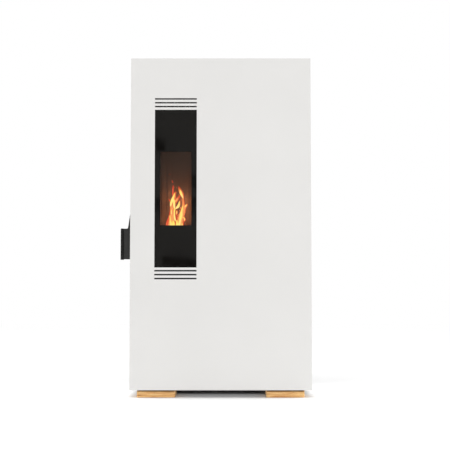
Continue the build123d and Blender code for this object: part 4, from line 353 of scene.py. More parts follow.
# %% [markdown]
# ## Oiled oak
#
# The feet are blocks of oiled oak, sawn with the grain running across the stove.  Oak shows three
# things: growth bands a few millimetres apart, drawn out along the board, fine dark pores that are
# short dashes along the grain, and a slow change of colour from honey to brown.  All three are noise
# drawn out along X, because such a noise never repeats as a picture would.

# %% Oiled oak
BAND_MM = 3.4
BAND_PULL = 0.045
PORE_MM = 0.7
PORE_PULL = 0.12
SAWN_OFF_TRUE = 0.03     # radians between the grain and the block
oak, tree, shader, place = finish("oiled oak", Roughness=0.48, IOR=1.45)
along = add(tree, "Mapping", {
    "Vector": place, "Scale": (BAND_PULL, 1.0, 1.0), "Rotation": (0, SAWN_OFF_TRUE, 0),
})
bands = add(tree, "TexNoise", {
    "Vector": along, "Scale": per_size(BAND_MM), "Detail": 4.0, "Distortion": 0.6,
})
wood = add(tree, "ValToRGB", {"Fac": bands}, stops=(
    (0.28, "a97038"), (0.42, "dfa262"), (0.55, "f8c884"), (0.72, "ffde9e"),
))
pores = cloud(tree, place, PORE_MM, 1.0, (PORE_PULL, 1, 1))
tree.links.new(mottled(tree, pores, 0.6, 0.75, wood, "6d4322", most=0.5), shader.inputs["Base Color"])
sunk = add(tree, "Bump", {"Height": pores, "Strength": 0.25, "Distance": 0.2 * MM}, invert=True)
tree.links.new(sunk, shader.inputs["Normal"])
print("Oak: bands", BAND_MM, "mm apart")

# %% [markdown]
# ## Black stove paint
#
# Handle, door frame, firebox and inner sheets are steel with a matt black silicone paint that stands
# 600 degrees.  It dries to a fine, slightly sandy coat of a very dark warm grey, never pure black, and
# goes browner and duller where it gets hot.  The real grit is a fifth of a millimetre across.  It is
# drawn four to eight times as coarse, because a finer one wouldn't show.

# %% Black stove paint
def stove_paint(name, colour, grey, roughness, grit_mm):
    material, tree, shader, place = finish(name, Roughness=roughness, IOR=1.5)
    coat = cloud(tree, place, 70, 4.0)
    tree.links.new(mottled(tree, coat, 0.35, 0.7, colour, grey), shader.inputs["Base Color"])
    vary(tree, shader, "Roughness", coat, 0.3, 0.7, roughness - 0.05, roughness + 0.08)
    grained(tree, shader, place, grit_mm, 2.0, 0.08, 0.5)
    return material


handle_paint = stove_paint("satin black silicone paint", "1e1e1d", "252524", 0.45, 0.8)
frame_paint = stove_paint("matt black silicone paint", "191817", "211f1d", 0.85, 1.2)
firebox_paint = stove_paint("heat-dulled silicone paint", "1b1a19", "2c2622", 0.75, 1.6)
print("Three black paints")

# %% [markdown]
# ## Sooty vermiculite
#
# The fire chamber is lined with pressed vermiculite board: flakes of expanded mica in a pale tan body.
# In use it turns grey-brown with soot, and burns clean again close to the flames.  The flakes are about
# 3 mm across, drawn as cells; the soot is a large soft noise that thins out near the burn pot.

# %% Vermiculite
FLAKE_MM = 3.0
CLEAN_BELOW, SOOTY_ABOVE = 560 * MM, 780 * MM
vermiculite, tree, shader, place = finish("sooty vermiculite board", Roughness=0.95, IOR=1.4)
flakes = add(tree, "TexVoronoi", {"Vector": place, "Scale": per_size(FLAKE_MM)}).node.outputs
body = add(tree, "ValToRGB", {"Fac": flakes["Color"]}, stops=(
    (0.1, "6a5844"), (0.5, "8a745a"), (0.9, "a08a6c"),
))
height = add(tree, "SeparateXYZ", {"Vector": place}, "Z")
climb = add(tree, "MapRange", {"Value": height, "From Min": CLEAN_BELOW, "From Max": SOOTY_ABOVE})
soot = add(tree, "Math", {0: climb, 1: cloud(tree, place, 60, 4.0)}, operation="ADD")
tree.links.new(mottled(tree, soot, 0.35, 1.1, body, "2b2723", 0.45, 0.93), shader.inputs["Base Color"])
raised = add(tree, "Bump", {"Height": flakes["Distance"], "Strength": 0.6, "Distance": 0.4 * MM})
tree.links.new(raised, shader.inputs["Normal"])
print("Vermiculite flakes", FLAKE_MM, "mm across")

# %% [markdown]
# ## Metals
#
# A bare metal keeps the default index of refraction, and its colour is its reflection.  What tells one
# from another is the surface.
#
# Hopper, ducts and fan casings are hot-dip galvanised sheet.  The zinc froze on it in spangles some
# millimetres wide, each a crystal that reflects a little differently.  A pattern of cells gives every
# spangle one value of its own, which sets both its tone and its gloss.

# %% Hot-dip galvanised sheet
SPANGLE_MM = 9.0
galvanised, tree, shader, place = finish("hot-dip galvanised sheet", Metallic=1.0, Roughness=0.45)
spangle = add(tree, "TexVoronoi", {"Vector": place, "Scale": per_size(SPANGLE_MM)}, "Color")
tree.links.new(mottled(tree, spangle, 0.1, 0.9, "a6abad", "c4c8ca"), shader.inputs["Base Color"])
vary(tree, shader, "Roughness", spangle, 0, 1, 0.34, 0.52)
grained(tree, shader, place, 25, 3.0, 0.1, 0.4)
print("Galvanised sheet: spangles", SPANGLE_MM, "mm wide")

# %% [markdown]
# The motors and the smoke fan's casing are die-cast aluminium: dull, clouded where the melt met the
# cold die, and finely pebbled from blasting.

# %% Die-cast aluminium
PEBBLE_MM = 1.2
cast_aluminium, tree, shader, place = finish("die-cast aluminium", Metallic=1.0, Roughness=0.5)
skin = cloud(tree, place, 14, 4.0)
tree.links.new(mottled(tree, skin, 0, 1, "a9abad", "bcbec0"), shader.inputs["Base Color"])
vary(tree, shader, "Roughness", skin, 0.3, 0.7, 0.42, 0.6)
grained(tree, shader, place, PEBBLE_MM, 2.0, 0.1, 0.5)
print("Cast aluminium: pebbles", PEBBLE_MM, "mm across")

# %% [markdown]
# Screws, nuts, auger and smoke wheel are steel with a bright zinc plate.  It is smooth, so it has no
# grain at all, only faint wipe marks in which tone and gloss come and go.

# %% Bright zinc plate
WIPE_MM = 6
zinc_plate, tree, shader, place = finish("bright zinc plate", Metallic=1.0, Roughness=0.28)
wipe = cloud(tree, place, WIPE_MM, 3.0)
tree.links.new(mottled(tree, wipe, 0, 1, "b9bcbf", "d0d2d4"), shader.inputs["Base Color"])
vary(tree, shader, "Roughness", wipe, 0.3, 0.7, 0.22, 0.36)
print("Zinc plate: wipe marks", WIPE_MM, "mm long")

# %% [markdown]
# The burn pot and its holder are cast iron that has been through fire: rough from the sand mould, rusty
# in patches and dusted with ash.  Ash isn't metal, so the metallic value falls where it lies.

# %% Burnt cast iron
RUST_MM, DUST_MM, SAND_MM = 9, 22, 2.5
cast_iron, tree, shader, place = finish("burnt cast iron", Metallic=0.7, Roughness=0.75)
rusty = mottled(tree, cloud(tree, place, RUST_MM, 5.0), 0.42, 0.62, "2b2927", "4a3a30")
dust = cloud(tree, place, DUST_MM, 4.0)
dusty = mottled(tree, dust, 0.52, 0.7, rusty, "8d8780", most=0.7)
tree.links.new(dusty, shader.inputs["Base Color"])
vary(tree, shader, "Metallic", dust, 0.52, 0.7, 0.7, 0.0)
grained(tree, shader, place, SAND_MM, 4.0, 0.3, 0.7)
print("Cast iron: rust in patches of", RUST_MM, "mm")

# %% [markdown]
# ## Black glass with a clear field
#
# The tall pane is 4 mm ceramic glass.  It is enamelled black from behind, except for a clear field in
# front of the fire, so it reads as a black mirror with a window in it.  Two things make it glass: a
# smooth surface with a plain Fresnel reflection, and, inside the clear field, a warm tint through which
# the fire shows.  The enamel ends in a soft edge about a millimetre wide.

# %% Ceramic glass
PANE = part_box("door_glass")
CLEAR_X = (-185.6 * MM, -81.9 * MM)
CLEAR_Z = (566.7 * MM, 812.7 * MM)
EDGE = 0.8 * MM
GLASS_IOR = 1.53
ceramic_glass, tree, shader, place = finish(
    "black enamelled ceramic glass", Roughness=0.04, IOR=GLASS_IOR,
)
axes = add(tree, "SeparateXYZ", {"Vector": place}).node.outputs
field = None
for axis, (near, far) in (("X", CLEAR_X), ("Z", CLEAR_Z)):
    for low, high in ((near - EDGE, near + EDGE), (far + EDGE, far - EDGE)):
        inside = add(tree, "MapRange", {"Value": axes[axis], "From Min": low, "From Max": high})
        both = {0: 1.0 if field is None else field, 1: inside}
        field = add(tree, "Math", both, operation="MULTIPLY")
smear = cloud(tree, place, 45, 4.0)
vary(tree, shader, "Roughness", smear, 0.35, 0.7, 0.03, 0.07)
shader.inputs["Base Color"].default_value = linear("0e0d0c")
gloss = add(tree, "BsdfGlossy", {"Color": "ffffff", "Roughness": 0.04})
through = add(tree, "BsdfTransparent", {"Color": "f2e8e0"})
clear = add(tree, "MixShader", {0: add(tree, "Fresnel", {"IOR": GLASS_IOR}), 1: through, 2: gloss})
whole = add(tree, "MixShader", {0: field, 1: shader.outputs["BSDF"], 2: clear})
tree.links.new(whole, tree.nodes["Material Output"].inputs["Surface"])
print("Pane", [round(v / MM) for v in PANE[1] - PANE[0]], "mm, clear field",
      [round((high - low) / MM) for low, high in (CLEAR_X, CLEAR_Z)], "mm")

# %% [markdown]
# ## Plastics, rubber and glass fibre
#
# The control panel is moulded black plastic with a fine spark-eroded grain.  The buttons are a glossy
# grey plastic, the display a smoked window.  The seal under the lid is silicone rubber: soft, matt and
# a little dusty.  The door seal is braided glass fibre, dyed black and greyed by use.  The panel's grain
# and the fibres are drawn a few times as coarse as the real ones, so that they show at all.

# %% Plastics, rubber and glass fibre
def plastic(name, colour, worn, roughness, grain_mm, depth_mm):
    material, tree, shader, place = finish(name, Roughness=roughness, IOR=1.46)
    wear = cloud(tree, place, 30, 4.0)
    tree.links.new(mottled(tree, wear, 0.4, 0.75, colour, worn), shader.inputs["Base Color"])
    vary(tree, shader, "Roughness", wear, 0.3, 0.7, roughness - 0.05, roughness + 0.06)
    grained(tree, shader, place, grain_mm, 2.0, depth_mm, 0.5)
    return material


panel_plastic = plastic("grained black plastic", "1d1d1e", "262627", 0.5, 0.5, 0.05)
button_plastic = plastic("glossy grey plastic", "77797b", "808284", 0.25, 6.0, 0.03)
display_plastic = plastic("smoked display window", "0d1113", "10161a", 0.1, 20.0, 0.01)
silicone = plastic("black silicone rubber", "222222", "34312e", 0.72, 0.8, 0.05)
glass_fibre = plastic("black glass-fibre tape", "1f1e1d", "3a3733", 0.9, 0.7, 0.3)
print("Five soft finishes")

# %% [markdown]
# ## Give every part its finish
#
# Each node of the engineering model gets one finish, by its name.  The list is checked against the
# model, so that no part is left grey.

# %% Finishes on the parts
FINISHES = [
    (powder_coat, ["front_panel", "left_side_panel", "right_side_panel", "top_panel", "hopper_lid"]),
    (oak, ["front_feet", "rear_feet"]),
    (handle_paint, ["door_handle", "latch_rod", "lid_hinges", "catch_pins"]),
    (frame_paint, ["door_frame", "hinge_arms", "door_hinge_lugs", "door_stiffeners", "inner_front_plate",
                   "latch_brackets", "base_plate", "rear_panel", "hopper_grille"]),
    (firebox_paint, ["firebox", "ash_drawer"]),
    (ceramic_glass, ["door_glass"]),
    (cast_iron, ["burn_pot", "burn_pot_holder"]),
    (vermiculite, ["back_liner", "side_liners", "baffle_plate"]),
    (galvanised, ["partition_plate", "hopper", "pellet_chute", "auger_tube", "air_duct", "smoke_collector",
                  "convection_fan_housing", "heat_exchanger_tubes", "flue_spigot", "intake_pipe",
                  "convection_fan_impeller"]),
    (zinc_plate, ["auger_screw", "foot_screws", "casing_screws", "door_nuts", "smoke_fan_impeller",
                  "igniter"]),
    (cast_aluminium, ["smoke_fan_housing", "auger_gearmotor", "convection_fan_motor", "smoke_fan_motor"]),
    (glass_fibre, ["door_rope_seal", "glass_gasket"]),
    (silicone, ["lid_seal"]),
    (panel_plastic, ["control_panel", "control_box", "mains_inlet", "power_switch"]),
    (button_plastic, ["power_button", "down_button", "up_button"]),
    (display_plastic, ["display_window"]),
]
given = set()
for material, names in FINISHES:
    for name in names:
        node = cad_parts[name]
        node.data.materials.clear()
        node.data.materials.append(material)
        given.add(name)
assert given == set(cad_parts), set(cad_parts) ^ given
print(len(given), "parts have their finish")

# %% [markdown]
# ## The fire
#
# A pellet fire is a bundle of tongues: broad and yellow-white where they leave the glowing bed, orange
# higher up, ending in thin red tips that lean and curl in the draught.  Each tongue is modelled as a
# ring that is extruded again and again along a bent line, narrowed to a point, and smoothed.  It is
# built three times, one inside the other: a red skin, an orange body and a yellow core.  Every tongue
# carries its own lengthwise coordinate, from 0 at its foot to 1 at its tip, so that the colour follows
# the flame and not the room.

# %% Flame finishes
STREAK_MM = 7
STREAK_PULL = 0.25
WAVER = 0.25             # how far a streak shifts the colour, as a share of the tongue


def flame(name, low_colour, high_colour, strength, dense, thin):
    """A see-through glowing finish that changes colour and thins out towards the tip."""
    material, tree, shader, place = finish(name, Roughness=1.0)
    up = add(tree, "SeparateXYZ", {"Vector": add(tree, "UVMap", uv_map="along")}, "Y")
    streak = cloud(tree, place, STREAK_MM, 3.0, (1, 1, STREAK_PULL))
    waver = add(tree, "MapRange", {
        "Value": streak, "From Min": 0.3, "From Max": 0.7, "To Min": -WAVER, "To Max": WAVER,
    })
    drawn = add(tree, "Math", {0: waver, 1: up}, operation="ADD", use_clamp=True)
    tint = mottled(tree, drawn, 0, 1, low_colour, high_colour)
    glow = add(tree, "Emission", {"Color": tint, "Strength": strength})
    cover = add(tree, "MapRange", {"Value": drawn, "From Min": 0.3, "To Min": dense, "To Max": thin})
    body = add(tree, "MixShader", {0: cover, 1: add(tree, "BsdfTransparent"), 2: glow})
    tree.links.new(body, tree.nodes["Material Output"].inputs["Surface"])
    return material


flame_skin = flame("flame: red skin", "ff6242", "e0563a", 1.15, 0.7, 0.4)
flame_body = flame("flame: orange body", "ffc878", "ff9058", 1.3, 0.85, 0.6)
flame_core = flame("flame: yellow core", "fff8a8", "fff066", 1.5, 0.95, 0.8)
print("Three flame finishes")

# %% [markdown]
# Everything that is added to the stove is modelled with the usual tools: select, extrude, resize,
# join, smooth.  Three of these steps come back in every cell.

# %% Select nothing, join, smooth
def select_nothing():
    bpy.ops.object.select_all(action="DESELECT")


def join(pieces):
    """Join the pieces into the first one."""
    select_nothing()
    for piece in pieces:
        piece.select_set(True)
    bpy.context.view_layer.objects.active = pieces[0]
    if len(pieces) > 1:
        bpy.ops.object.join()
    return bpy.context.object


def smoothed(made, levels):
    """Round a low mesh off with a subdivision that is applied at once."""
    smooth = made.modifiers.new("smooth", "SUBSURF")
    smooth.levels = smooth.render_levels = levels
    bpy.ops.object.modifier_apply(modifier=smooth.name)
    bpy.ops.object.shade_smooth()


print("Modelling helpers are ready")

# %% [markdown]
# A tongue is described by its spine: points in millimetres across and up from the middle of the fire's
# foot, each with the tongue's half width there.  A tongue is half as deep as it is wide, because the
# draught through the slotted pot draws the fire out into sheets, and its own distance from the middle
# of the pot sets it in front of its neighbours or behind them.

# %% Modelling one tongue
FIRE = Vector((-140.9 * MM, -76.5 * MM, 570.7 * MM))
RING = 12
FLATNESS = 0.5


def tongue(name, back, spine, material):
    """Model one flame tongue along its spine of (across, up, half width), all in millimetres."""
    select_nothing()
    across, up, half = spine[0]
    centre = FIRE + Vector((across, back, up)) * MM
    bpy.ops.mesh.primitive_circle_add(vertices=RING, radius=half * MM, fill_type="NGON", location=centre)
    made = bpy.context.object
    made.name = name
    bpy.ops.object.transform_apply(location=True, rotation=True, scale=True)
    bpy.ops.object.mode_set(mode="EDIT")
    bpy.ops.mesh.select_all(action="SELECT")
    bpy.ops.transform.resize(value=(1, FLATNESS, 1), center_override=centre)
    for nearer, further in zip(spine, spine[1:]):
        step = Vector((further[0] - nearer[0], 0, further[1] - nearer[1])) * MM
        bpy.ops.mesh.extrude_region_move(TRANSFORM_OT_translate={"value": step})
        centre = centre + step
        ratio = further[2] / nearer[2]
        bpy.ops.transform.resize(value=(ratio, ratio, 1), center_override=centre)
    bpy.ops.mesh.merge(type="CENTER")
    bpy.ops.mesh.select_all(action="SELECT")
    bpy.ops.mesh.normals_make_consistent(inside=False)
    bpy.ops.object.mode_set(mode="OBJECT")
    smoothed(made, 2)
    while made.data.uv_layers:
        made.data.uv_layers.remove(made.data.uv_layers[0])
    coordinate = made.data.uv_layers.new(name="along")
    foot = min(v.co.z for v in made.data.vertices)
    tip = max(v.co.z for v in made.data.vertices)
    for loop in made.data.loops:
        place = made.data.vertices[loop.vertex_index].co
        turn = math.atan2(place.y - FIRE.y, place.x - FIRE.x) / math.tau + 0.5
        coordinate.data[loop.index].uv = (turn, (place.z - foot) / (tip - foot))
    made.data.materials.append(material)
    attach(made, "burn_pot")
    return made


print("Tongues are modelled from", RING, "sided rings")

# %% [markdown]
# These are the tongues of the photographed fire, read from it: a leaning pair of tall ones, a short
# white-hot one between them, spikes at the left, a forked branch and a curl at the right, and one
# wisp that has just torn off.  The first number is the distance behind the middle of the pot.

# %% The red skins
SKINS = [
    ("left_main", 4, [
        (-17.6, -18.6, 12.4), (-17.6, 4.5, 15.5), (-15.8, 20.7, 14.0), (-14.1, 38.0, 9.8), (-11.8, 53.0, 8.3),
        (-10.7, 66.8, 9.8), (-9.5, 80.7, 10.3), (-7.2, 94.5, 8.7), (-4.9, 106.0, 6.4), (-2.7, 115.3, 4.7),
        (-0.9, 121.0, 2.6), (-0.4, 123.9, 0.5)]),
    ("left_wisp", 6, [
        (-9.0, 106.0, 1.9), (-9.5, 113.0, 2.9), (-9.5, 119.9, 2.9), (-9.5, 128.0, 3.1), (-9.0, 136.0, 3.3),
        (-8.4, 141.0, 2.3), (-9.2, 145.0, 1.0), (-9.8, 147.5, 0.2)]),
    ("torn_wisp", 6, [(-9.2, 151.5, 0.3), (-10.5, 154.6, 1.8), (-12.4, 158.6, 1.8), (-13.5, 162.4, 0.4)]),
    ("spark", 6, [(-20.2, 180.6, 0.3), (-20.6, 182.4, 1.0), (-20.9, 184.2, 0.3)]),
    ("left_spike", 6, [(-18.1, 87.6, 3.6), (-21.0, 92.2, 2.2), (-23.9, 96.2, 1.0), (-25.6, 99.1, 0.3)]),
    ("right_main", 2, [
        (12.3, -18.6, 12.4), (13.5, 4.5, 15.5), (16.9, 20.7, 13.4), (20.4, 38.0, 11.3), (23.8, 51.8, 10.3),
        (28.4, 63.4, 9.3), (28.4, 72.6, 6.4), (26.7, 83.0, 4.3), (26.1, 94.5, 4.0), (25.5, 101.4, 4.0),
        (23.8, 108.3, 6.2), (20.9, 116.4, 8.3), (16.9, 125.7, 7.2), (12.9, 133.7, 4.7), (10.6, 138.3, 2.6),
        (9.5, 141.2, 0.5)]),
    ("right_branch", 5, [
        (28.4, 57.6, 4.1), (33.5, 68.0, 5.0), (37.6, 74.9, 4.1), (39.8, 78.9, 2.2), (40.4, 81.8, 0.5)]),
    ("bridge", 8, [
        (-4.9, 78.4, 3.1), (-2.6, 83.0, 5.7), (2.6, 91.0, 5.9), (7.8, 99.1, 5.0), (12.3, 106.0, 4.7),
        (15.8, 110.7, 3.1), (16.9, 113.0, 0.5)]),
    ("middle", -4, [
        (-7.1, 58.7, 2.1), (-0.3, 61.0, 5.9), (6.6, 66.8, 6.4), (11.8, 74.9, 4.7), (14.1, 84.1, 2.9),
        (15.2, 91.0, 1.4), (15.8, 95.7, 0.3)]),
    ("low_left", 8, [
        (-24.4, -18.6, 6.2), (-25.6, 4.5, 8.3), (-23.3, 20.7, 7.7), (-20.4, 32.2, 5.7), (-18.1, 40.3, 4.1),
        (-17.0, 45.5, 0.8)]),
    ("outer_left", 10, [
        (-29.0, -18.6, 3.1), (-31.3, 4.5, 3.6), (-29.9, 16.0, 3.6), (-29.0, 24.1, 1.9), (-28.4, 27.6, 0.3)]),
    ("curl", 0, [
        (22.1, 32.2, 2.1), (26.7, 33.4, 3.7), (31.3, 30.5, 4.0), (33.0, 25.3, 4.0), (31.3, 19.5, 3.5),
        (28.4, 16.0, 1.0)]),
    ("right_foot", 0, [
        (22.1, -18.6, 3.1), (22.7, 4.5, 3.3), (23.2, 9.1, 2.9), (23.8, 13.7, 1.3), (24.0, 16.0, 0.3)]),
    ("middle_foot", 10, [
        (-3.7, -18.6, 11.3), (-3.7, 4.5, 12.4), (-2.6, 20.7, 10.3), (-0.3, 38.0, 8.3), (2.0, 49.5, 6.2),
        (3.2, 56.4, 3.1), (3.7, 59.9, 0.5)]),
]
skins = [tongue("flame_skin_" + name, back, spine, flame_skin) for name, back, spine in SKINS]
print(len(skins), "red skins")

# %% [markdown]
# The orange bodies stand inside the skins and follow their bends.

# %% The orange bodies
BODIES = [
    ("left_main", -3, [
        (-14.1, -18.6, 9.8), (-14.1, 4.5, 11.6), (-12.4, 20.7, 9.8), (-11.8, 34.5, 6.7), (-12.4, 48.4, 5.5),
        (-11.2, 62.2, 7.3), (-10.7, 72.6, 8.3), (-9.5, 85.3, 8.5), (-7.2, 96.8, 7.3), (-4.4, 107.2, 4.7),
        (-2.1, 116.4, 2.4), (-1.3, 119.9, 0.3)]),
    ("right_main", -5, [
        (11.2, -18.6, 9.8), (12.3, 4.5, 11.6), (15.8, 20.7, 9.8), (18.1, 34.5, 9.8), (23.2, 48.4, 9.1),
        (26.7, 59.9, 7.8), (27.8, 70.3, 5.5), (26.7, 80.7, 2.7), (26.1, 89.9, 2.2), (25.5, 99.1, 2.4),
        (22.7, 107.2, 5.1), (19.2, 115.3, 6.7), (15.8, 123.3, 4.9), (12.9, 130.3, 2.4), (11.8, 133.7, 0.3)]),
    ("right_branch", -3, [(29.5, 61.0, 2.4), (34.1, 69.1, 3.9), (37.6, 74.9, 3.0), (38.9, 77.8, 0.5)]),
    ("bridge", 2, [(-1.4, 85.3, 3.0), (3.2, 92.2, 4.1), (7.8, 99.1, 2.4), (11.2, 103.2, 0.5)]),
    ("low_left", 2, [
        (-22.1, -18.6, 3.0), (-22.1, 6.8, 3.6), (-20.4, 20.7, 3.9), (-18.7, 32.2, 3.9), (-17.8, 38.0, 2.2),
        (-17.6, 40.3, 0.3)]),
    ("outer_left", 4, [(-29.9, -18.6, 1.7), (-30.4, 5.7, 1.9), (-29.9, 13.7, 1.7), (-29.5, 18.4, 0.3)]),
    ("second_left", 4, [(-23.7, -18.6, 1.9), (-23.5, 5.7, 2.2), (-23.5, 14.9, 1.8), (-23.3, 20.7, 0.3)]),
    ("curl", -5, [
        (24.4, 32.8, 1.5), (28.4, 31.6, 2.2), (30.9, 28.2, 2.4), (31.3, 23.5, 2.4), (29.8, 19.5, 1.7),
        (29.0, 17.8, 0.3)]),
    ("middle_foot", 0, [(2.0, 41.4, 2.2), (4.3, 48.4, 3.6), (4.3, 54.1, 2.7), (4.9, 57.6, 0.3)]),
    ("middle", -9, [
        (-4.9, 59.7, 1.2), (0.9, 61.6, 3.9), (6.6, 66.2, 5.6), (11.4, 73.7, 4.0), (13.5, 81.8, 2.2),
        (14.4, 88.7, 0.5)]),
]
bodies = [tongue("flame_body_" + name, back, spine, flame_body) for name, back, spine in BODIES]
print(len(bodies), "orange bodies")

# %% [markdown]
# The yellow cores are where the fire is hottest: in the feet, in the stems over them and in the blades
# that lick up from there.  A flame is light, so none of the shells casts a shadow.

# %% The yellow cores
CORES = [
    ("left_blade", -10, [
        (-16.6, 69.1, 1.1), (-16.2, 73.7, 3.2), (-14.7, 80.7, 3.9), (-11.8, 89.9, 4.6), (-8.4, 99.1, 4.1),
        (-5.5, 106.0, 3.0), (-3.2, 113.0, 1.6), (-2.1, 117.6, 0.3)]),
    ("left_inner", -8, [
        (-3.2, 59.9, 0.9), (-3.8, 66.8, 3.0), (-4.4, 76.0, 3.7), (-4.9, 85.3, 4.1), (-6.1, 92.2, 3.4),
        (-6.7, 96.8, 0.6)]),
    ("foot_left", -10, [
        (-13.9, -18.6, 3.9), (-14.1, 4.5, 4.4), (-14.7, 10.3, 3.9), (-16.4, 17.2, 2.3), (-17.6, 23.0, 1.4),
        (-18.5, 32.2, 1.8), (-18.7, 36.8, 1.4), (-18.7, 40.3, 0.3)]),
    ("foot_mid", -12, [
        (-5.7, -18.6, 5.0), (-5.9, 4.5, 5.5), (-6.2, 11.4, 4.8), (-7.1, 17.2, 3.2), (-7.7, 21.8, 0.5)]),
    ("stem_mid", -9, [
        (0.0, 17.2, 0.6), (-0.4, 21.8, 2.3), (-1.9, 28.7, 2.8), (-3.0, 35.7, 2.5), (-3.7, 42.6, 2.1),
        (-3.7, 49.5, 1.8), (-2.7, 56.4, 3.0), (-2.3, 59.9, 2.8), (-2.5, 64.5, 0.6)]),
    ("foot_right", -12, [
        (8.0, -18.6, 6.4), (7.8, 4.5, 7.1), (6.6, 11.4, 4.6), (4.9, 18.4, 2.5), (4.1, 24.1, 0.6)]),
    ("stem_right", -11, [
        (12.9, -18.6, 3.0), (13.5, 6.8, 3.4), (15.2, 17.2, 3.4), (17.5, 27.6, 4.4), (19.8, 36.8, 5.0),
        (20.1, 44.9, 4.6), (21.3, 51.8, 2.8), (23.2, 59.9, 2.3), (24.4, 69.1, 1.4), (24.4, 73.7, 0.3)]),
    ("right_blade", -11, [
        (26.7, 96.8, 0.9), (23.2, 104.9, 2.8), (19.8, 110.7, 4.4), (18.1, 117.6, 4.1), (16.9, 123.3, 2.5),
        (15.8, 128.0, 0.5)]),
    ("middle", -14, [
        (0.3, 60.1, 0.9), (3.7, 61.6, 3.4), (7.2, 64.9, 5.4), (10.6, 70.7, 4.6), (12.3, 77.0, 3.6),
        (13.8, 83.8, 2.1), (14.4, 89.9, 0.3)]),
    ("branch", -8, [
        (32.4, 66.8, 0.9), (33.9, 69.1, 2.1), (36.1, 72.4, 2.8), (37.8, 75.5, 1.8), (38.7, 77.8, 0.3)]),
    ("curl", -8, [
        (24.4, 34.0, 0.5), (28.0, 32.6, 1.7), (31.0, 28.8, 1.9), (31.4, 24.4, 1.8), (29.8, 20.5, 0.4)]),
    ("right_foot", -6, [(22.4, -18.6, 2.3), (22.7, 5.7, 2.8), (22.7, 9.7, 2.5), (23.2, 13.7, 0.5)]),
    ("thin_left", -8, [(-13.7, 41.4, 0.6), (-13.7, 48.4, 1.4), (-13.9, 55.3, 1.1), (-14.1, 59.9, 0.3)]),
    ("thin_mid", -6, [(3.2, 46.0, 0.6), (4.3, 50.7, 1.6), (4.5, 55.3, 0.3)]),
]

cores = [tongue("flame_core_" + name, back, spine, flame_core) for name, back, spine in CORES]
for shell in skins + bodies + cores:
    shell.visible_shadow = False
print(len(cores), "yellow cores")

# %% [markdown]
# ## Pellets
#
# Wood pellets are 6 mm pressed sticks, 8 to 20 mm long, with a polished skin and rough broken ends.
# The finish is a pale brown in many shades, broken up by darker fibres.

# %% Pressed wood pellets
PELLET_TONE_MM = 14
fresh_pellet, tree, shader, place = finish("pressed wood pellets", Roughness=0.55, IOR=1.45)
tone = add(tree, "TexVoronoi", {"Vector": place, "Scale": per_size(PELLET_TONE_MM)}, "Color")
pale = add(tree, "ValToRGB", {"Fac": tone}, stops=(
    (0.1, "9a7142"), (0.5, "b88c58"), (0.9, "cda670"),
))
fibrous = mottled(tree, cloud(tree, place, 4, 4.0), 0.5, 0.75, pale, "7c5730", most=0.6)
tree.links.new(fibrous, shader.inputs["Base Color"])
grained(tree, shader, place, 1.2, 3.0, 0.15, 0.5)
print("Fresh pellets", PELLET_TONE_MM, "mm to a shade")

# %% [markdown]
# One pellet of each length is modelled: a ten-sided cylinder whose ends are inset and pushed in a
# little, and whose corners are all shaken a bit.  Everything else is copies of it, so it has to make do
# with a few dozen faces.

# %% Modelling one pellet
PELLET_RADIUS = 3.0 * MM
PELLET_LENGTHS = (9 * MM, 12 * MM, 15 * MM, 18 * MM)
END_INSET, END_SUNK = 0.7 * MM, 0.4 * MM
SHAKE = 0.25 * MM


def pellet(length):
    """One pellet at the origin, lying along X."""
    select_nothing()
    bpy.ops.mesh.primitive_cylinder_add(
        vertices=10, radius=PELLET_RADIUS, depth=length, rotation=(0, math.pi / 2, 0),
    )
    made = bpy.context.object
    bpy.ops.object.transform_apply(location=True, rotation=True, scale=True)
    bpy.ops.object.mode_set(mode="EDIT")
    bpy.ops.mesh.select_all(action="DESELECT")
    bpy.ops.mesh.select_mode(type="FACE")
    grid = bmesh.from_edit_mesh(made.data)
    for face in grid.faces:
        face.select = abs(face.normal.x) > 0.9
    bmesh.update_edit_mesh(made.data)
    bpy.ops.mesh.inset(thickness=END_INSET, depth=-END_SUNK)
    bpy.ops.mesh.select_all(action="SELECT")
    bpy.ops.transform.vertex_random(offset=SHAKE, seed=int(length / MM))
    bpy.ops.object.mode_set(mode="OBJECT")
    bpy.ops.object.shade_smooth_by_angle(angle=math.radians(40))
    return made


models = [pellet(length) for length in PELLET_LENGTHS]
print(len(models), "model pellets")

# %% [markdown]
# Four lengths are enough for the eye.  Copies of them are strewn, each with its own place, turn and
# tilt, drawn from one fixed series of chance numbers so that every run gives the same heap.

# %% Strewing pellets
chance = random.Random(7)


def strewn(name, count, low, high, level, material, tilt):
    """Copies of the model pellets, each turned its own way, joined into one layer."""
    copies = []
    for n in range(count):
        copy = models[n % len(models)].copy()
        copy.data = copy.data.copy()
        bpy.context.scene.collection.objects.link(copy)
        spot = Vector((chance.uniform(low[0], high[0]), chance.uniform(low[1], high[1]), 0))
        spot.z = level(spot.x, spot.y)
        tipped = Matrix.Rotation(chance.uniform(-tilt, tilt), 4, "Y")
        turned = Matrix.Rotation(chance.uniform(0, math.tau), 4, "Z")
        copy.matrix_world = Matrix.Translation(spot) @ turned @ tipped
        copies.append(copy)
    layer = join(copies)
    bpy.ops.object.transform_apply(location=True, rotation=True, scale=True)
    layer.name = name
    layer.data.materials.clear()
    layer.data.materials.append(material)
    return layer


print("Pellets are strewn from one series of chance numbers")

# %% [markdown]
# ## Embers
#
# In the pot, pellets have turned to char with a grey bloom.  They glow in patches, red where the air
# is thin and yellow where it blows.

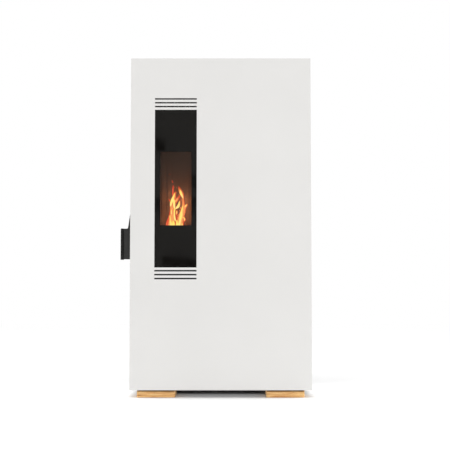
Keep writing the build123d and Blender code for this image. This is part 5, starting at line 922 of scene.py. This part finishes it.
# %% Glowing char
ember, tree, shader, place = finish("glowing pellet char", Roughness=0.9, IOR=1.4)
char = mottled(tree, cloud(tree, place, 5, 3.0), 0.5, 0.7, "1a1614", "8c857d")
tree.links.new(char, shader.inputs["Base Color"])
heat = cloud(tree, place, 11, 3.0)
glow = add(tree, "ValToRGB", {"Fac": heat}, stops=(
    (0.38, "3a0a02"), (0.5, "ff5a1c"), (0.62, "ffc060"),
))
tree.links.new(glow, shader.inputs["Emission Color"])
vary(tree, shader, "Emission Strength", heat, 0.42, 0.6, 0.0, 2.2)
grained(tree, shader, place, 1.5, 4.0, 0.4, 0.7)
print("Char that glows in patches")

# %% [markdown]
# The pot is filled with glowing pellets up to its slots.  They lie highest in the middle, where they
# drop from the chute, and lower towards the rim.

# %% Embers in the burn pot
EMBERS = 110
EMBER_FLOOR, EMBER_HUMP = 513, 16                # mm
POT_MIDDLE = (-134.1 * MM, -76.5 * MM)
POT_REACH = (46 * MM, 40 * MM)
EMBER_SPREAD = (36 * MM, 31 * MM)


def ember_level(x, y):
    """The height of the embers here: highest in the middle, with some chance."""
    away = ((x - POT_MIDDLE[0]) / POT_REACH[0]) ** 2 + ((y - POT_MIDDLE[1]) / POT_REACH[1]) ** 2
    return (EMBER_FLOOR + EMBER_HUMP * (1 - 0.6 * min(away, 1)) + chance.uniform(-5, 7)) * MM


low = [m - s for m, s in zip(POT_MIDDLE, EMBER_SPREAD)]
high = [m + s for m, s in zip(POT_MIDDLE, EMBER_SPREAD)]
embers = strewn("glowing_pellets", EMBERS, low, high, ember_level, ember, tilt=0.5)
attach(embers, "burn_pot")
print(len(embers.data.polygons), "faces of glowing pellets in the pot")

# %% [markdown]
# ## Loose heaps
#
# Pellets and ash lie in heaps.  A heap is a fine grid that a cloud noise pushes up and down, the way a
# poured surface is uneven, and that is then given a skirt all round.

# %% Heaps
def heap(name, low, high, level, hump, cloud_size, material, cells):
    """An uneven surface between two corners, this high, humped by this much."""
    select_nothing()
    middle = ((low[0] + high[0]) / 2, (low[1] + high[1]) / 2, level)
    bpy.ops.mesh.primitive_grid_add(x_subdivisions=cells, y_subdivisions=cells, size=1, location=middle)
    made = bpy.context.object
    made.name = name
    made.scale = (high[0] - low[0], high[1] - low[1], 1)
    bpy.ops.object.transform_apply(location=True, rotation=True, scale=True)
    clouds = bpy.data.textures.new(name, "CLOUDS")
    clouds.noise_scale = cloud_size
    clouds.noise_depth = 3
    push = made.modifiers.new("push", "DISPLACE")
    push.texture = clouds
    push.texture_coords = "LOCAL"
    push.direction = "Z"
    push.strength = hump
    push.mid_level = 0.5
    bpy.ops.object.modifier_apply(modifier=push.name)
    bpy.ops.object.mode_set(mode="EDIT")
    bpy.ops.mesh.select_all(action="SELECT")
    bpy.ops.mesh.extrude_region_move(TRANSFORM_OT_translate={"value": (0, 0, -hump)})
    bpy.ops.mesh.select_all(action="SELECT")
    bpy.ops.mesh.normals_make_consistent(inside=False)
    bpy.ops.object.mode_set(mode="OBJECT")
    bpy.ops.object.shade_smooth_by_angle(angle=math.radians(60))
    made.data.materials.append(material)
    return made


print("Heaps are modelled from a grid")

# %% [markdown]
# The hopper's load is such a heap, with whole pellets strewn over it.  Only this top layer is built,
# since nothing below it can be seen, even with the lid open.

# %% Pellets in the hopper
HOPPER_LOW = (-7.6 * MM, -150.0 * MM)
HOPPER_HIGH = (305.1 * MM, 115.0 * MM)
BED_LEVEL, BED_HUMP, BED_CLOUD = 930 * MM, 26 * MM, 90 * MM
ABOVE_ALL = 1.0
INSET = 11 * MM          # keeps the longest pellet inside the hopper's walls
PELLETS = 1000

bed = heap(
    "hopper_pellet_bed", HOPPER_LOW, HOPPER_HIGH, BED_LEVEL, BED_HUMP, BED_CLOUD, fresh_pellet, cells=48,
)
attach(bed, "casing")


def on_bed(x, y):
    """The height of the bed here, found by looking straight down on it, with some chance."""
    place = bed.ray_cast(Vector((x, y, ABOVE_ALL)), Vector((0, 0, -1)))[1]
    return place.z + chance.uniform(0, 3) * MM


low = [v + INSET for v in HOPPER_LOW]
high = [v - INSET for v in HOPPER_HIGH]
pellets = strewn("hopper_pellets", PELLETS, low, high, on_bed, fresh_pellet, tilt=0.35)
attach(pellets, "casing")
print(len(pellets.data.polygons), "faces of pellets on the hopper's bed")

# %% [markdown]
# ## Ash
#
# What is left of the pellets is a fine, light grey ash with dark crumbs in it.  It is matt through and
# through and lies in soft humps.

# %% Wood ash
wood_ash, tree, shader, place = finish("fine wood ash", Roughness=1.0, IOR=1.3)
grey = mottled(tree, cloud(tree, place, 18, 5.0), 0.35, 0.7, "77726b", "a9a49c")
crumbs = mottled(tree, cloud(tree, place, 2.2, 2.0), 0.66, 0.72, grey, "2e2a27")
tree.links.new(crumbs, shader.inputs["Base Color"])
grained(tree, shader, place, 18, 5.0, 1.5, 0.8)
print("Ash with dark crumbs")

# %% [markdown]
# The drawer under the pot holds a centimetre of ash, from wall to wall.

# %% Ash in the drawer
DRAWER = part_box("ash_drawer")
DRAWER_WALL = 3 * MM
DRAWER_FLOOR = 347.5 * MM
ASH_LEVEL, ASH_HUMP, ASH_CLOUD = 357 * MM, 12 * MM, 45 * MM

low = [DRAWER[0][0] + DRAWER_WALL, DRAWER[0][1] + DRAWER_WALL]
high = [DRAWER[1][0] - DRAWER_WALL, DRAWER[1][1] - DRAWER_WALL]
ash = heap("drawer_ash", low, high, ASH_LEVEL, ASH_HUMP, ASH_CLOUD, wood_ash, cells=40)
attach(ash, "casing")
for model in models:
    bpy.data.objects.remove(model)
print("Ash lies", round((ASH_LEVEL - DRAWER_FLOOR) / MM), "mm deep in the drawer")

# %% [markdown]
# ## The woven door seal
#
# The engineering model holds the door's rope seal as a plain round ring.  A real one is braided from
# flat glass-fibre yarns that cross over and under each other, so its surface is rows of small slanted
# pads.  The ring is built again from such pads.  First comes the path that it follows: four straight
# runs and four quarter turns, round the door's frame.

# %% The rope's path
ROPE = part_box("door_rope_seal")
ROPE_RADIUS = (ROPE[1][1] - ROPE[0][1]) / 2
ROPE_Y = (ROPE[0][1] + ROPE[1][1]) / 2
CORNER = 16 * MM
left, right = ROPE[0][0] + ROPE_RADIUS, ROPE[1][0] - ROPE_RADIUS
bottom, top = ROPE[0][2] + ROPE_RADIUS, ROPE[1][2] - ROPE_RADIUS


def ring_path(step):
    """Points and headings along the ring's middle line, about this far apart."""
    path = []
    corners = [(right - CORNER, top - CORNER, 90), (left + CORNER, top - CORNER, 180),
               (left + CORNER, bottom + CORNER, 270), (right - CORNER, bottom + CORNER, 360)]
    here = Vector((right, 0, bottom + CORNER))
    for x, z, heading in corners:
        start = math.radians(heading - 90)
        first = Vector((x + CORNER * math.cos(start), 0, z + CORNER * math.sin(start)))
        runs = max(1, round((first - here).length / step))
        path += [(here.lerp(first, n / runs), heading) for n in range(runs)]
        bends = max(1, round(CORNER * math.pi / 2 / step))
        for n in range(bends):
            turn = start + math.pi / 2 * n / bends
            here = Vector((x + CORNER * math.cos(turn), 0, z + CORNER * math.sin(turn)))
            path.append((here, heading + 90 * n / bends))
        turn = start + math.pi / 2
        here = Vector((x + CORNER * math.cos(turn), 0, z + CORNER * math.sin(turn)))
    return path


print("The rope is about", len(ring_path(MM)), "mm long")

# %% [markdown]
# The body of the rope is a circle that is extruded step by step along the path, turned with it in the
# corners and closed where it meets its start.  It is a little thinner than the rope, to leave room for
# the yarns.

# %% The rope's core
CORE_SHARE = 0.86
CORE_SIDES = 12
CORE_STEP = 6 * MM


def rope_core():
    """The rope's body, extruded ring by ring round the whole path and closed."""
    path = ring_path(CORE_STEP)
    select_nothing()
    start, heading = path[0]
    start = Vector((start.x, ROPE_Y, start.z))
    radius = ROPE_RADIUS * CORE_SHARE
    bpy.ops.mesh.primitive_circle_add(vertices=CORE_SIDES, radius=radius, location=start)
    made = bpy.context.object
    bpy.ops.object.transform_apply(location=True, rotation=True, scale=True)
    bpy.ops.object.mode_set(mode="EDIT")
    bpy.ops.mesh.select_all(action="SELECT")
    here, last = start, heading
    for spot, heading in path[1:] + [path[0]]:
        spot = Vector((spot.x, ROPE_Y, spot.z))
        bpy.ops.mesh.extrude_region_move(TRANSFORM_OT_translate={"value": spot - here})
        turned = (heading - last + 180) % 360 - 180
        if abs(turned) > 0.01:
            bpy.ops.transform.rotate(value=math.radians(turned), orient_axis="Y", center_override=spot)
        here, last = spot, heading
    bpy.ops.mesh.select_all(action="SELECT")
    bpy.ops.mesh.remove_doubles(threshold=0.05 * MM)
    bpy.ops.mesh.normals_make_consistent(inside=False)
    bpy.ops.object.mode_set(mode="OBJECT")
    bpy.ops.object.shade_smooth()
    return made


core = rope_core()
print("Rope core:", len(core.data.vertices), "vertices")

# %% [markdown]
# One repeat of the braid is eight pads round the body, every second one half a step on and slanted the
# other way.  A pad is a plate that is extruded, narrowed towards its top and rounded off.

# %% One repeat of the braid
PADS_ROUND = 8
BRAID_STEP = 5.0 * MM
PAD_LONG, PAD_WIDE, PAD_THICK = 5.6 * MM, 3.4 * MM, 0.9 * MM
PAD_SUNK = 0.25 * MM
SLANT = 32


def braid_segment():
    """Eight slanted yarn pads round the rope's axis, which is X: one repeat of the braid."""
    pads = []
    for n in range(PADS_ROUND):
        select_nothing()
        bpy.ops.mesh.primitive_plane_add(size=1, location=(0, 0, 0))
        pad = bpy.context.object
        bpy.ops.object.mode_set(mode="EDIT")
        bpy.ops.mesh.select_all(action="SELECT")
        bpy.ops.transform.resize(value=(PAD_LONG, PAD_WIDE, 1), center_override=(0, 0, 0))
        bpy.ops.mesh.extrude_region_move(TRANSFORM_OT_translate={"value": (0, 0, PAD_THICK)})
        bpy.ops.transform.resize(value=(0.62, 0.5, 1), center_override=(0, 0, PAD_THICK))
        bpy.ops.mesh.select_all(action="SELECT")
        slant = math.radians(SLANT if n % 2 else -SLANT)
        bpy.ops.transform.rotate(value=slant, orient_axis="Z", center_override=(0, 0, 0))
        bpy.ops.object.mode_set(mode="OBJECT")
        smoothed(pad, 1)
        shift = BRAID_STEP / 2 if n % 2 else 0
        lift = Matrix.Translation((shift, 0, ROPE_RADIUS * CORE_SHARE - PAD_SUNK))
        pad.matrix_world = Matrix.Rotation(math.tau * n / PADS_ROUND, 4, "X") @ lift
        pads.append(pad)
    repeat = join(pads)
    bpy.ops.object.transform_apply(location=True, rotation=True, scale=True)
    return repeat


segment = braid_segment()
print("One repeat has", len(segment.data.polygons), "faces")

# %% [markdown]
# The repeat is copied along the path and turned with it.  Then everything is joined to the body, and
# takes the plain ring's place on the door.

# %% The braid along the rope
copies = []
for spot, heading in ring_path(BRAID_STEP):
    copy = segment.copy()
    copy.data = segment.data.copy()
    bpy.context.scene.collection.objects.link(copy)
    place = Matrix.Translation((spot.x, ROPE_Y, spot.z))
    copy.matrix_world = place @ Matrix.Rotation(-math.radians(heading), 4, "Y")
    copies.append(copy)
bpy.data.objects.remove(segment)
join([core] + copies)
core.name = "braided_door_rope"
core.data.materials.clear()
core.data.materials.append(glass_fibre)
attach(core, "door")
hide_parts("door_rope_seal")
print(len(copies), "repeats of the braid,", len(core.data.polygons), "faces")

# %% [markdown]
# ## Display and button signs
#
# The display shows the room temperature in seven-segment digits, the usual way on such a panel, and the
# buttons carry the plain signs for on, down and up.  All of them are one pointed bar, modelled once from
# a hexagon whose halves are pulled apart, and a broken ring for the power sign.

# %% Finishes of the signs
lit_digit, tree, shader, place = finish("lit display segment", Roughness=0.4, Emission_Strength=1.6)
shader.inputs["Base Color"].default_value = linear("203038")
lit = mottled(tree, cloud(tree, place, 1.5, 1.0), 0.3, 0.7, "9fe4ff", "c8f1ff")
tree.links.new(lit, shader.inputs["Emission Color"])

print_white, tree, shader, place = finish("white pad printing", Roughness=0.6, IOR=1.45)
worn = mottled(tree, cloud(tree, place, 1.2, 3.0), 0.4, 0.8, "e6e6e4", "c9c9c6")
tree.links.new(worn, shader.inputs["Base Color"])
print("Two finishes for the signs")

# %% [markdown]
# Each bar starts as a hexagon.  Its two halves are pulled apart, which leaves a bar with pointed ends,
# and a short extrusion gives it the thickness of a print.

# %% Modelling a bar and a sign
SIGN_HEIGHT = 0.12 * MM


def raise_flat(made):
    """Give a flat sign its printed thickness."""
    bpy.ops.mesh.select_all(action="SELECT")
    bpy.ops.mesh.extrude_region_move(TRANSFORM_OT_translate={"value": (0, 0, SIGN_HEIGHT)})
    bpy.ops.mesh.select_all(action="SELECT")
    bpy.ops.mesh.normals_make_consistent(inside=False)
    bpy.ops.object.mode_set(mode="OBJECT")
    return made


def bar(length, width, middle, turn):
    """A pointed bar lying on a surface: its middle, and its turn about Z in degrees."""
    select_nothing()
    bpy.ops.mesh.primitive_circle_add(
        vertices=6, radius=width / 2, fill_type="NGON", rotation=(0, 0, math.radians(30)),
    )
    made = bpy.context.object
    bpy.ops.object.transform_apply(location=True, rotation=True, scale=True)
    for side in (-1, 1):
        bpy.ops.object.mode_set(mode="EDIT")
        bpy.ops.mesh.select_mode(type="VERT")
        grid = bmesh.from_edit_mesh(made.data)
        for vertex in grid.verts:
            vertex.select = vertex.co.x * side > 0
        grid.select_flush(True)
        bmesh.update_edit_mesh(made.data)
        bpy.ops.transform.translate(value=(side * (length - width) / 2, 0, 0))
        bpy.ops.object.mode_set(mode="OBJECT")
    bpy.ops.object.mode_set(mode="EDIT")
    raise_flat(made)
    made.location = middle
    made.rotation_euler = (0, 0, math.radians(turn))
    bpy.ops.object.transform_apply(location=True, rotation=True, scale=True)
    return made


def sign(name, parts, material, body):
    """Join the parts of a sign and let it ride on its body."""
    whole = join(parts)
    whole.name = name
    whole.data.materials.clear()
    whole.data.materials.append(material)
    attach(whole, body)


def top_of(node):
    """The middle of the upper side of a part."""
    low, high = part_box(node)
    return Vector(((low[0] + high[0]) / 2, (low[1] + high[1]) / 2, high[2]))


print("Signs stand", SIGN_HEIGHT / MM, "mm proud")

# %% [markdown]
# A figure is made of up to seven bars, named a to g as everybody names them, from the top round to the
# middle.  Only the lit ones are modelled.

# %% Display digits
SHOWN = "21"             # degrees in the room
SEGMENTS = {"2": "abged", "1": "bc"}
PLACES = {"a": (0, 1, 0), "g": (0, 0, 0), "d": (0, -1, 0), "f": (-0.5, 0.5, 90), "b": (0.5, 0.5, 90),
          "e": (-0.5, -0.5, 90), "c": (0.5, -0.5, 90)}
DIGIT = 7.5 * MM
DIGIT_PITCH = 11 * MM
SEGMENT_SHARE = 0.92
SEGMENT_WIDTH = 1.3 * MM
screen = top_of("display_window")
bars = []
for n, figure in enumerate(SHOWN):
    middle = screen + Vector(((n - 0.5) * DIGIT_PITCH, 0, 0))
    for key in SEGMENTS[figure]:
        x, y, turn = PLACES[key]
        spot = middle + Vector((x, y, 0)) * DIGIT
        bars.append(bar(DIGIT * SEGMENT_SHARE, SEGMENT_WIDTH, spot, turn))
sign("display_digits", bars, lit_digit, "casing")
print(len(bars), "segments are lit")

# %% [markdown]
# The buttons for more and less carry an arrow head each: two bars that meet at a right angle.

# %% Arrows on the buttons
ARROW_ARM = 4.4 * MM
ARROW_SIDE = 1.35 * MM
LINE_WIDTH = 0.9 * MM
for button, way in (("down", -1), ("up", 1)):
    middle = top_of(button + "_button")
    arms = []
    for side in (-1, 1):
        spot = middle + Vector((side * ARROW_SIDE, 0, 0))
        arms.append(bar(ARROW_ARM, LINE_WIDTH, spot, -45 * side * way))
    sign(button + "_sign", arms, print_white, button + "_button")
print("Two arrows")

# %% [markdown]
# The sign for on and off is a ring with a gap at the top and a stroke in the gap.  The ring is a circle
# whose edge is extruded and drawn in, and the faces of the gap are deleted.

# %% Power sign
POWER_RADIUS = 2.9 * MM
RING_SHARE = 0.7         # the inner radius as a share of the outer one
GAP_HALF = 1.1 * MM
STROKE, STROKE_UP = 3.6 * MM, 1.9 * MM
power = top_of("power_button")
select_nothing()
bpy.ops.mesh.primitive_circle_add(vertices=32, radius=POWER_RADIUS, location=power)
ring = bpy.context.object
bpy.ops.object.transform_apply(location=True, rotation=True, scale=True)
bpy.ops.object.mode_set(mode="EDIT")
bpy.ops.mesh.select_all(action="SELECT")
bpy.ops.mesh.extrude_edges_move()
bpy.ops.transform.resize(value=(RING_SHARE, RING_SHARE, 1), center_override=power)
bpy.ops.mesh.select_mode(type="FACE")
grid = bmesh.from_edit_mesh(ring.data)
for face in grid.faces:
    away = face.calc_center_median() - power
    face.select = abs(away.x) < GAP_HALF and away.y > 0
bmesh.update_edit_mesh(ring.data)
bpy.ops.mesh.delete(type="FACE")
raise_flat(ring)
stroke = bar(STROKE, LINE_WIDTH, power + Vector((0, STROKE_UP, 0)), 90)
sign("power_sign", [ring, stroke], print_white, "power_button")
print("A broken ring with a stroke")

# %% [markdown]
# ## The end
#
# The box of everything that is shown is printed; the engineering model's box was printed at the start.

# %% Write the sizes and finish
low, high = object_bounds()
print("Visual box", [round((b - a) / MM, 1) for a, b in zip(low, high)], "mm")
